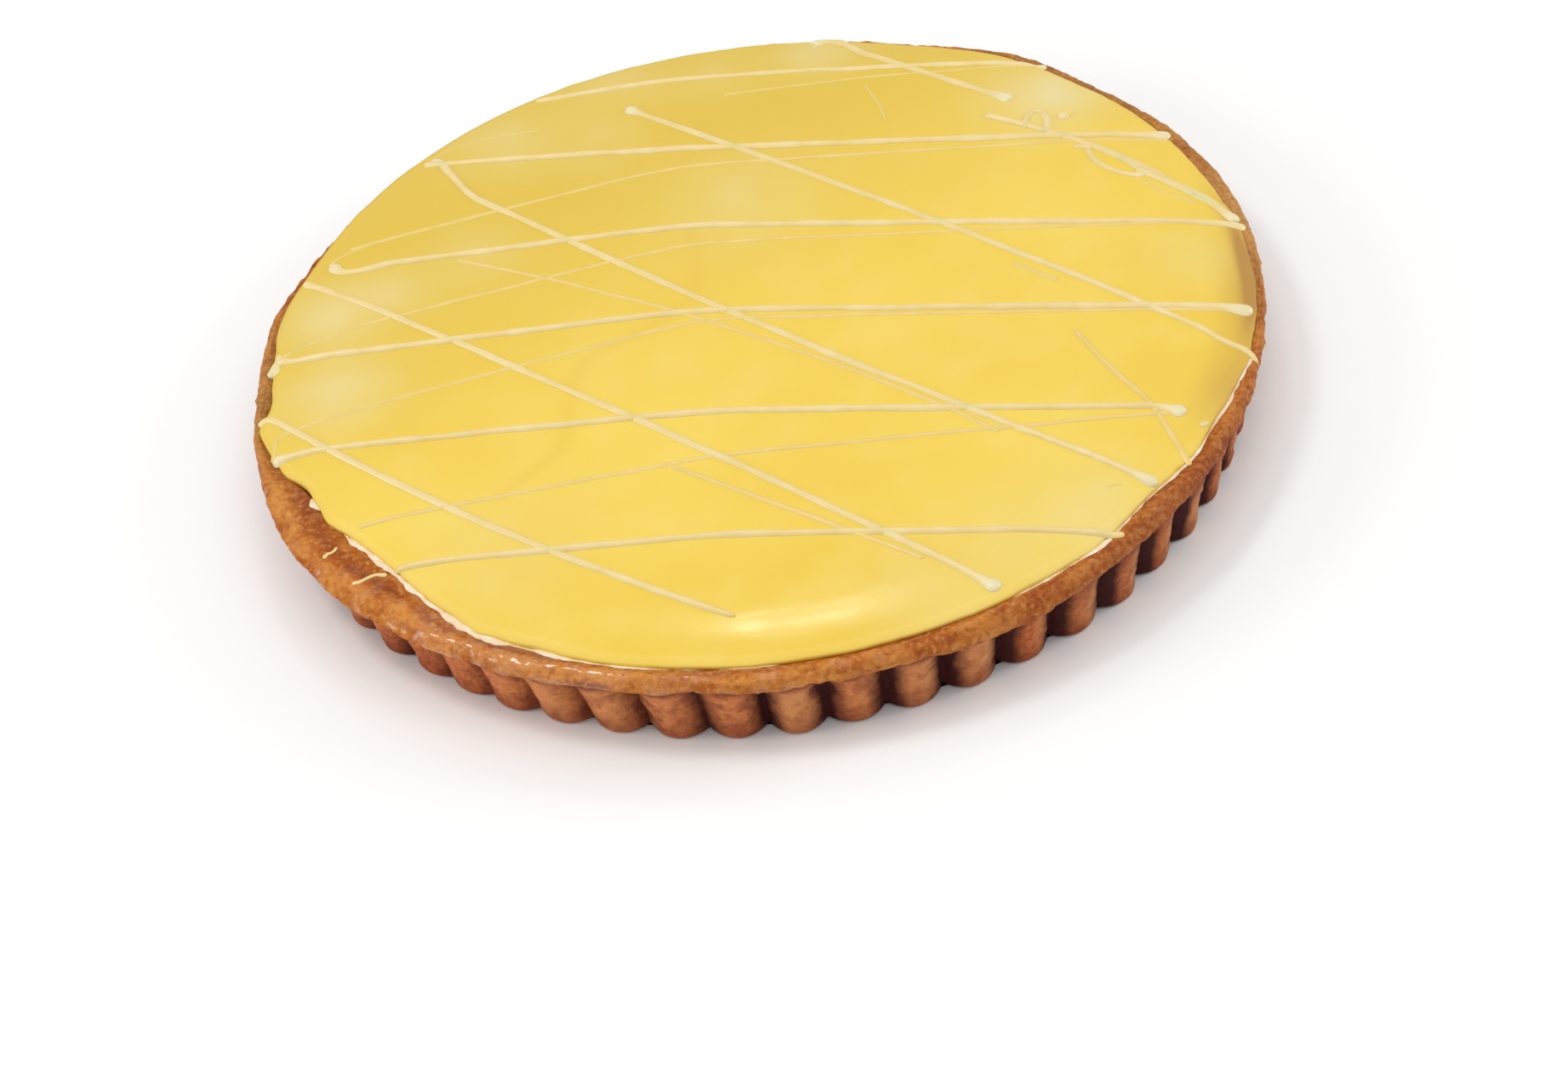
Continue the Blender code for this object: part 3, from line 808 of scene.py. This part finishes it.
def make_cream(shell, material):
    """The bed of cream, whose thin edge lies on the shell as an uneven pale line round the glaze."""
    share = np.sin(np.linspace(0, 0.5 * math.pi, CREAM_EDGE_ROWS))[:, None]
    profile = cream_profile(share)
    outer = slice(len(INNER_RADII) + 1, len(INNER_RADII) + 1 + CREAM_EDGE_ROWS)
    angle = directions(TOP_COLUMNS)
    radius, height = profile[:, :1], profile[:, 1:]
    shows = swellings(angle, CREAM_SHOWS)
    ragged = np.minimum(0.45 * shows, 0.7 * MM) * layered(round_noise, angle, CREAM_RAGGED)
    follows = ramp(height, CREAM_BOTTOM, CREAM_TOP - 1 * MM)
    new_radius = mix(radius, follow_edge(radius, angle), follows)
    new_radius[outer] += share * (edge_detail(angle) + shows + ragged - 0.2 * MM)
    rings = turned_points(new_radius, angle, height * np.ones_like(angle))
    lumps = layered(noise, rings[outer], CREAM_LUMPS)
    on_shell = heights_on(shell, rings[outer])
    thickness = CREAM_LINE_HEIGHT * np.sqrt(1 - share ** 2) + share * MM * lumps - 0.05 * MM
    least = (1 - share ** 12) * (CREAM_TOP - 0.7 * MM)
    rings[outer, :, 2] = np.maximum(on_shell + thickness, least)
    return turned_piece("cream_bed", rings, {}, material)


# A soft fold in the glaze, and patches that are partly milkiness and partly painted reflections of soft
# light, as (x, y, half width, amount), in millimetres
FOLD = ((-13, 45), (-14, 30), (-15, 15), (-24, 6), (-44, -5), (-50, -14), (-55, -40), (-63, -49), (-72, -57))
MILKY_AND_SHEEN = (
    (-115, -4, 15, 0.55), (-117, 31, 13, 0.55), (-102, 36, 12, 0.35), (-75, 49, 14, 0.25),
    (-66, 101, 16, 0.35), (-38, 95, 16, 0.2), (-30, 124, 15, 0.25), (0, 119, 13, 0.2),
    (2, 57, 22, 0.3), (32, 124, 13, 0.4), (96, 83, 17, 0.75), (80, -99, 15, 0.45),
    (57, -107, 17, 0.25), (30, -118, 14, 0.3), (121, -3, 12, 0.25), (-72, -80, 20, 0.2),
)


def near_line(points, line, width):
    """1 on a line of points in the plane and 0 beyond its width."""
    nearest = np.full(points.shape[:-1], np.inf)
    for spot in line:
        nearest = np.minimum(nearest, np.hypot(points[..., 0] - spot[0], points[..., 1] - spot[1]))
    return np.exp(-((nearest / width) ** 2))

    return hill(nearest, 0, width)


def glaze_profile():
    """The glaze's outline over top, shoulder and underside, and which of its rows is the edge."""
    shoulder = [(GLAZE_EDGE / MM + out, GLAZE_TOP / MM + up) for out, up in GLAZE_SHOULDER]
    shoulder = smooth_line(shoulder, 0.42) * MM
    radii = np.arange(3, GLAZE_FLAT_RADIUS, GLAZE_ROW_STEP)
    falls = GLAZE_FALL * (radii / GLAZE_FLAT_RADIUS) ** 3
    inner = np.stack([radii * MM, GLAZE_TOP - falls], axis=-1)
    return np.vstack([inner, shoulder, GLAZE_UNDER]), len(inner) + len(shoulder) - 1


def thin_and_shaded_glaze(radius, angle):
    """Where the glaze thins out at its edge, with painted shade along parts of that edge, from 0 to 1."""
    shaded = swelling(angle, *GLAZE_SHADED)
    wide_rim = ramp(radius, GLAZE_EDGE - 12 * MM, GLAZE_EDGE - 1 * MM) * shaded
    band = hill((radius - GLAZE_EDGE) / MM, -1.6, 1.7) * swelling(angle, GLAZE_SHADED_BAND)
    back_rim_shadow = ramp(radius, GLAZE_EDGE - 1.6 * MM, GLAZE_EDGE) * swelling(angle, GLAZE_BACK_RIM_SHADOW)
    rim = wide_rim + band + back_rim_shadow + 0.08 * ramp(radius, GLAZE_EDGE - 2.5 * MM, GLAZE_EDGE)
    return np.clip(rim, 0, 1)


def milky_and_sheen_glaze(flat):
    """Where the glaze has milkiness and painted reflections of soft light, from 0 to 1."""
    x, y = flat[..., 0] / MM, flat[..., 1] / MM
    milky_and_sheen = sum(
        amount * hill(np.hypot(x - middle_x, y - middle_y), 0, wide)
        for middle_x, middle_y, wide, amount in MILKY_AND_SHEEN
    )
    return np.clip(milky_and_sheen * (1 + 0.3 * noise(flat, 9 * MM, 54)), 0, 1)


def make_glaze(shell, material):
    """The poured glaze: slow waves, a soft fold, and a rounded shoulder down to an uneven edge."""
    profile, edge = glaze_profile()
    angle = directions(TOP_COLUMNS)
    radius, height = profile[:, :1], profile[:, 1:]
    above = np.arange(len(profile))[:, None] <= edge
    fine = edge_detail(angle) * ramp(radius, GLAZE_EDGE - 7 * MM, GLAZE_EDGE)
    rings = turned_points(follow_edge(radius, angle) + fine, angle, height * np.ones_like(angle))
    flat = rings * (1, 1, 0)
    fold = near_line(flat, smooth_line(np.array(FOLD) * MM, 1 * MM), 2.4 * MM)
    calm = 1 - 0.6 * ramp(radius, GLAZE_EDGE - 6 * MM, GLAZE_EDGE)
    rings[..., 2] += above * calm * MM * (layered(noise, flat, GLAZE_WAVES) - 0.08 * fold)
    lowered = np.minimum(rings[edge, :, 2], heights_on(shell, rings[edge]) - 0.15 * MM)
    rings[edge, :, 2] = np.maximum(lowered, GLAZE_LOWEST)
    masks = {
        # Painted shade, growing towards the back-left
        "back_shade": ramp(flat[..., 1] - 0.5 * flat[..., 0], -20 * MM, 105 * MM),
        "milky_and_sheen": milky_and_sheen_glaze(flat),
        # Thin glaze, with painted shade along its edge
        "thin": thin_and_shaded_glaze(radius, angle),
        "edge": ramp(radius, GLAZE_EDGE - 3.5 * MM, GLAZE_EDGE - 1.5 * MM),
        # Painted shade along the fold
        "fold": 0.2 * fold,
    }
    return turned_piece("poured_glaze", rings, masks, material)


# Icing: the strokes of the solids, and the thin ones between them. All of it in millimetres.
# A line's ends can be other points than those of its plain course. Swells are how many times wider
# than the rest the icing is at the line's first and last points.
KNEE_X = -14
KNEE_ROUNDING = 8
LINE_STEP = 4
STROKE_STEP = 0.75
STROKE_HEIGHT = 0.34
THREAD_HEIGHT = 0.26
STROKE_WHITENESS = 0.45
THREAD_WHITENESS = 0.1
END_SECTIONS = 6
ARCH_POINTS = 9
ARCH_POWER = 2.2
LEAST_TIP = 0.0025
FIRST_SWELL_REACH = 2.2
LAST_SWELL_REACH = 2.6
UNEVEN_WIDTH = ((0.14, 9, 61), (0.08, 3, 62))
UNEVEN_WAY = ((0.22, 16, 63),)
UNEVEN_HEIGHT = ((0.1, 5, 64),)
EVENED_OVER = 6
EVENED_WIDTH = 2

# Straight courses with one soft bend: (y at the bend, left slope, right slope, left x, right x),
# the points before and after, (width, first swell, last swell)
CROSS_STROKES = (
    ((122.5, -0.020, -0.180, -55, 95), (), ((99, 101.4),), (2.2, 0.8, 1.3)),
    ((85, -0.166, -0.212, -89, 126), ((-89.6, 99), (-86, 97.7)), ((127.5, 56.1),), (2.8, 1.4, 1.7)),
    ((47, -0.047, -0.250, -109, 139), ((-117.5, 55.5), (-115, 51.8), (-110, 50.2)), (),
     (2.6, 1.6, 1.3)),
    ((7.3, -0.059, -0.242, -133, 133), ((-134.6, 10.5), (-132.4, 15), (-127, 14)), ((132.6, -29.2),),
     (2.7, 1.7, 2.1)),
    ((-36.4, -0.094, -0.232, -134, 107), ((-133.6, -26.5), (-128, -26.4)), ((106.8, -66.6),),
     (2.7, 1.8, 1.8)),
    ((-85.7, -0.099, -0.215, -101, 83), (), (), (2.5, 0.6, 1)),
)
# Bowed courses: (heading, distance from the middle, bow, start, end), and the same again
DIAGONAL_STROKES = (
    ((-47.3, 111.2, -4.4, -5, 86), (), ((123.4, 30.9), (131, 21.2), (134.5, 15.6), (137.4, 11.4)),
     (2.5, 1, 1.8)),
    ((-44.1, 118.9, 1.4, -68, 3.5), ((30.9, 130), (32.6, 131.4), (36.5, 131.5), (41, 127.6)), (),
     (2.5, 1.8, 1.9)),
    ((-44.9, 59.4, -2.5, -97, 124), (), ((122.6, -40.4), (128, -45), (129.3, -48)), (2.2, 2.1, 0.7)),
    ((-44.8, 0.5, 3.2, -115, 131), ((-87.9, 99.4), (-84.6, 97.6), (-82.5, 92.5), (-78, 82)), (),
     (2.3, 1.9, 1.9)),
    ((-44.2, -50.5, -2, -125, 119), (), (), (2.3, 1.1, 1.8)),
    ((-42.1, -99, 4.5, -93, 66), ((-137.5, -10.4), (-136, -8.5), (-133.2, -10)), (), (2.3, 1.3, 0.5)),
)
CROSS_THREADS = (
    ((76.8, 0.156, -0.167, -112, 126), (), (), (1.4, 1, 1.4)),
    ((38.7, 0.148, -0.194, -118, 138), ((-130, 17.5), (-127, 19.4)), (), (1.35, 1, 1.2)),
    ((3.5, 0.161, -0.224, -105, 132), ((-133.5, -26), (-132.7, -22), (-129, -16.8)), (),
     (1.4, 1, 1.2)),
    ((-54.6, 0.050, -0.098, -110, 104), (), (), (1.65, 1, 1.2)),
)
DIAGONAL_THREADS = (
    ((-38.4, -9.7, -6.7, -93, 85), (), (), (1.5, 1, 1)),
    ((-39.9, -60.4, -0.3, 13, 93), (), (), (1.7, 1, 1)),
)
# Loose lines of icing between the strokes: the points, (width, first swell, last swell)
LOOSE_THREADS = (
    (((97, 101.5), (67, 104), (40, 107), (2, 109)), (0.95, 1, 1)),
    (((44.3, 102.4), (45.8, 96.5), (47.3, 90.2), (47.9, 82.9)), (0.8, 1.2, 0.8)),
    (((-87.8, 100.3), (-83.9, 103.7), (-77.3, 105.9), (-68.3, 106.6), (-54.8, 106)), (0.7, 1, 0.7)),
    (((-118.2, 55.7), (-115.7, 58.3), (-109.8, 60.9), (-99.8, 63.2)), (0.8, 1.5, 0.7)),
    (((-131, 15), (-130.8, 17.4), (-126.7, 19.5), (-114.7, 22.2)), (1.1, 1.4, 0.9)),
    (((73, 6), (84, -5)), (1.5, 1, 1)),
    (((84.6, -27.1), (90.2, -43.1), (97.8, -59.6), (99.9, -67), (101.7, -75), (104.1, -84.7)),
     (1.7, 0.7, 1.1)),
    (((113.5, 35.2), (116.4, 32.4), (119.6, 27.8), (125.4, 22.9), (127.4, 21.2)), (0.9, 0.7, 1.5)),
    (((81.3, -90.5), (83.7, -89.7), (85.8, -89.9)), (0.6, 1, 1)),
)
LOOSE_STROKES = (
    (((-134.7, 10.5), (-133.3, 13.1), (-132, 18.9)), (2.2, 1.1, 1.2)),
    (((31.5, 131.6), (36.5, 132.4), (41.5, 129)), (3, 1, 0.8)),
    (((31.1, 131.9), (32.5, 127.7)), (1.6, 1, 1)),
    (((87.3, 67.5), (87.6, 70.5), (89, 74.3), (91.3, 75.6), (93.4, 73.9), (93.9, 70.2), (93.2, 66)),
     (2.2, 1, 1.1)),
    (((96.9, 71.5), (98.6, 71), (100.6, 70.4)), (3.7, 1, 1)),
    (((91.3, 66.1), (92.8, 65), (94.3, 63.9)), (2.6, 1, 1)),
    (((99, 55), (102.6, 54), (106.1, 53), (109.8, 48.6), (113.2, 43.6), (116.5, 38.2)),
     (2.1, 1, 1.2)),
    (((102.8, 53), (103.1, 49), (105.2, 44.4), (109.3, 39.6), (113.6, 37.3), (117, 37.2)),
     (1.9, 1, 1.3)),
    (((114, 40.4), (119.5, 34.6), (125.5, 28), (131, 21.8), (134.8, 16.2)), (2.9, 0.7, 0.8)),
    (((109.4, -71.8), (110.5, -71), (111.9, -70.7)), (1.6, 1, 1)),
    (((-119.3, -67.8), (-118.6, -66.6), (-117.2, -66.4), (-115.8, -64.6)), (1.1, 1.4, 0.9)),
    (((-112, -79.3), (-110, -79), (-107.8, -77.6), (-105.6, -77.1), (-103, -77.8)), (1.2, 1.2, 1.1)),
)


def bent_course(at_bend, left, right, start, end):
    """A line across the tart with one slope on the left and another on the right."""
    x = np.linspace(start, end, round((end - start) / LINE_STEP))
    away = x - KNEE_X
    y = at_bend + 0.5 * (left + right) * away + 0.5 * (right - left) * np.hypot(away, KNEE_ROUNDING)
    return np.stack([x, y], axis=-1)


def bowed_course(heading, offset, bow, start, end):
    """A line across the tart in a heading, bowed towards one side."""
    along = np.linspace(start, end, round((end - start) / LINE_STEP))
    aside = offset + bow * (np.linspace(-1, 1, len(along)) ** 2 - 0.5)
    turn = math.radians(heading)
    x = along * math.cos(turn) - aside * math.sin(turn)
    y = along * math.sin(turn) + aside * math.cos(turn)
    return np.stack([x, y], axis=-1)


def with_ends(course, before, after):
    """A course whose ends are replaced by other points, with room for a smooth turn."""
    if before:
        nearest = np.hypot(*(course - before[-1]).T).argmin()
        course = np.vstack([before, course[nearest + 2:]])
    if after:
        nearest = np.hypot(*(course - after[0]).T).argmin()
        course = np.vstack([course[:nearest - 1], after])
    return course


def evened(values):
    """Values along a line, smoothed over their neighbours."""
    weights = hill(np.arange(-EVENED_OVER, EVENED_OVER + 1), 0, EVENED_WIDTH)
    padded = np.pad(values, EVENED_OVER, mode="edge")
    return np.convolve(padded, weights / weights.sum(), mode="valid")


def lie_on(surface, line):
    """Give the points of a flat line the height of the surface under them."""
    heights, last = [], RIM_HEIGHT
    for x, y in line * MM:
        last = height_under(surface, x, y, last)
        heights.append(last)
    return np.column_stack([line * MM, evened(np.array(heights))])


def cross_sections(total, size):
    """Places along a line of icing, closer at its ends, and how full the rounded ends are there."""
    width, first, last = size
    rounding = 1 - np.cos(np.linspace(0, 0.5 * math.pi, END_SECTIONS))
    start, end = 0.5 * width * first * rounding, total - 0.5 * width * last * rounding[::-1]
    count = max(2, round((end[0] - start[-1]) / STROKE_STEP))
    at = np.concatenate([start[:-1], np.linspace(start[-1], end[0], count), end[1:]])
    near_end = np.minimum(at / start[-1], (total - at) / (total - end[0]))
    full = 1 - (1 - np.clip(near_end, 0, 1)) ** 2
    return at, np.sqrt(np.clip(full, LEAST_TIP, 1))


def squeeze(surface, course, size, share, seed):
    """Rings of points round a line of icing that lies on the surface, with rounded ends."""
    width, first, last = size
    course = smooth_line(course, 0.3)
    length = np.concatenate([[0], np.cumsum(np.hypot(*np.diff(course, axis=0).T))])
    at, tip = cross_sections(length[-1], size)
    line = np.stack([np.interp(at, length, course[:, 0]), np.interp(at, length, course[:, 1])], axis=-1)
    spots = np.stack([at, np.full_like(at, seed * 37), np.zeros_like(at)], axis=-1)
    swell = 1 + (first - 1) * hill(at, 0, FIRST_SWELL_REACH * first)
    swell += (last - 1) * hill(at, length[-1], LAST_SWELL_REACH * last)
    swell *= 1 + layered(noise, spots, UNEVEN_WIDTH)
    heading = np.gradient(line, axis=0)
    heading /= np.maximum(np.hypot(*heading.T)[:, None], 1e-9)
    side = np.stack([-heading[:, 1], heading[:, 0]], axis=-1)
    line = line + side * layered(noise, spots, UNEVEN_WAY)[:, None]
    reach = side * (0.5 * width * swell * tip)[:, None]
    middle, left, right = (lie_on(surface, line + reach * way) for way in (0, 1, -1))
    high = share * width * MM * np.sqrt(swell) * tip * (1 + layered(noise, spots, UNEVEN_HEIGHT))
    return arched(middle, left, right, high), swell


def arched(middle, left, right, high):
    """Rings of points over cross-sections of a given height, sunk a little into what they lie on."""
    across = 0.5 * (left - right)
    settle = 0.5 * (left + right) - middle
    down = np.cross(np.gradient(middle, axis=0), across)
    down /= np.maximum(np.linalg.norm(down, axis=1, keepdims=True), 1e-12)
    down *= -np.sign(down[:, 2:])
    rings = []
    for turn in np.linspace(0, math.pi, ARCH_POINTS):
        u, v = math.cos(turn), math.sin(turn)
        rise = (v ** ARCH_POWER * high - 0.03 * MM)[:, None]
        rings.append(middle + u * across + u * u * settle - down * rise)
    for u in (-0.5, 0.5):
        rings.append(middle + u * across + down * 0.4 * MM)
    return np.stack(rings, axis=1)


def icing_piece(name, surface, lines, share, whiteness, material):
    """One piece from several lines of icing, each closed on itself."""
    points, faces, thick = [], [], []
    for seed, (course, size) in enumerate(lines):
        rings, swell = squeeze(surface, course, size, share, seed)
        rows, columns = rings.shape[:2]
        offset = sum(len(part) for part in points)
        for face in ring_faces(rows, columns):
            faces.append([offset + corner for corner in face])
        faces.append([offset + column for column in range(columns)])
        faces.append([offset + rows * columns - 1 - column for column in range(columns)])
        points.append(rings.reshape(-1, 3))
        thick.append(np.repeat(np.clip(whiteness * swell ** 1.5, 0, 1), columns))
    return new_piece(name, np.vstack(points), faces, {"thick": np.concatenate(thick)}, material)


def surface_of(*pieces):
    """A surface to lie things on, from the faces of pieces."""
    points, faces = [], []
    for piece in pieces:
        offset = len(points)
        points += [corner.co.copy() for corner in piece.data.vertices]
        faces += [[offset + corner for corner in face.vertices] for face in piece.data.polygons]
    return BVHTree.FromPolygons(points, faces)


def drawn(course_of, table):
    """Lines of icing from a table: courses of one kind, with their ends and sizes."""
    return [
        (with_ends(course_of(*course), before, after), size)
        for course, before, after, size in table
    ]


def make_icing(surface, material):
    """All the icing: thick strokes and bits, and the thin threads between them."""
    strokes = drawn(bent_course, CROSS_STROKES) + drawn(bowed_course, DIAGONAL_STROKES)
    threads = drawn(bent_course, CROSS_THREADS) + drawn(bowed_course, DIAGONAL_THREADS)
    strokes += LOOSE_STROKES
    threads += LOOSE_THREADS
    thick = icing_piece("icing_strokes", surface, strokes, STROKE_HEIGHT, STROKE_WHITENESS, material)
    thin = icing_piece("icing_threads", surface, threads, THREAD_HEIGHT, THREAD_WHITENESS, material)
    return thick, thin


# Stage, light and camera

FLOOR_HALF = 4
FLOOR_LEVEL = -0.3 * MM
FLOOR_COLOUR = (0.94, 0.94, 0.94, 1)
WORLD_COLOUR = (1, 0.99, 0.97, 1)
WORLD_BRIGHTNESS = 0.55
# Soft lights: (name, place, width and height, power)
LIGHTS = (
    ("overhead", (0.2, -0.3, 1.45), (1.3, 1.3), 6.2),
    ("left", (-1.3, -0.1, 0.6), (0.6, 0.6), 5),
    ("right", (1.3, 0.1, 0.6), (0.6, 0.6), 5),
    ("back", (-0.004, 0.6, 0.96), (0.1, 0.035), 0.36),
    ("lamp", (-0.546, 0.02, 1.18), (0.25, 0.25), 2.8),
)
CAMERA_ELEVATION = 42.35
CAMERA_ROLL = -9.03
CAMERA_DISTANCE = 0.855
CAMERA_LEFT = 0.00092
CAMERA_DOWN = 0.04065
CAMERA_LENS = 70
CAMERA_SENSOR = 36
CAMERA_SEES = (0.01, 20)


def make_floor():
    """A plain pale floor just under the tart."""
    paint = Paint("pale_floor", Roughness=0.7)
    paint.shader.inputs["Base Color"].default_value = FLOOR_COLOUR
    signs = ((-1, -1), (1, -1), (1, 1), (-1, 1))
    corners = np.array([(x * FLOOR_HALF, y * FLOOR_HALF, FLOOR_LEVEL) for x, y in signs])
    return new_piece("pale_floor", corners, [(0, 1, 2, 3)], {}, paint.material)


def make_light(name, place, size, power):
    """A soft light, so wide and so high, that faces the tart."""
    light = bpy.data.lights.new(name, "AREA")
    light.shape = "RECTANGLE"
    light.size, light.size_y = size
    light.energy = power
    lamp = bpy.data.objects.new(name, light)
    lamp.location = place
    lamp.rotation_euler = (-Vector(place)).to_track_quat("-Z", "Y").to_euler()
    bpy.context.scene.collection.objects.link(lamp)


def make_world():
    """Even pale light from all round."""
    world = bpy.data.worlds.new("studio")
    world.use_nodes = True
    background = world.node_tree.nodes["Background"]
    background.inputs["Color"].default_value = WORLD_COLOUR
    background.inputs["Strength"].default_value = WORLD_BRIGHTNESS
    bpy.context.scene.world = world


def make_camera():
    """Look down from the front, rolled a little, with the tart's middle above the picture's."""
    elevation = math.radians(CAMERA_ELEVATION)
    back = Vector((0, -math.cos(elevation), math.sin(elevation)))
    right = Vector((1, 0, 0))
    up = back.cross(right)
    place = back * CAMERA_DISTANCE - right * CAMERA_LEFT - up * CAMERA_DOWN
    rows = [[*(column[row] for column in (right, up, back, place))] for row in range(3)]
    camera = bpy.data.cameras.new("camera")
    camera.lens, camera.sensor_width = CAMERA_LENS, CAMERA_SENSOR
    camera.clip_start, camera.clip_end = CAMERA_SEES
    holder = bpy.data.objects.new("camera", camera)
    roll = Matrix.Rotation(math.radians(CAMERA_ROLL), 4, "Z")
    holder.matrix_world = Matrix([*rows, [0, 0, 0, 1]]) @ roll
    bpy.context.scene.collection.objects.link(holder)
    bpy.context.scene.camera = holder


def stand_in(pieces, node):
    """Let pieces stand for a solid, which is hidden."""
    for piece in pieces:
        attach(piece, "root")
        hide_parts(node)


def repaint(node, material):
    """Give a solid that is shown as it is a better material."""
    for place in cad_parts[node].material_slots:
        place.material = material


def main():
    """Build the tart's pieces, the stage, the light and the camera."""
    shell = make_crust(crust_paint())
    bed = make_cream(surface_of(shell), cream_paint())
    glaze = make_glaze(surface_of(shell), glaze_paint())
    icing = make_icing(surface_of(shell, bed, glaze), icing_paint())
    stand_in([shell], "crust")
    stand_in([bed], "cream")
    stand_in([glaze], "glaze")
    stand_in(icing, "glaze")
    curd = filling_paint("lemon_curd", CURD_COLOURS, 5 * MM, 0.2 * MM, 0.3)
    sponge = filling_paint("sponge_crumb", SPONGE_COLOURS, 1.8 * MM, 0.7 * MM, 0.8)
    repaint("lower_curd", curd)
    repaint("upper_curd", curd)
    repaint("sponge", sponge)
    make_floor()
    make_world()
    for light in LIGHTS:
        make_light(*light)
    make_camera()
    bpy.context.scene.view_settings.view_transform = "Standard"
    bpy.context.view_layer.update()


main()
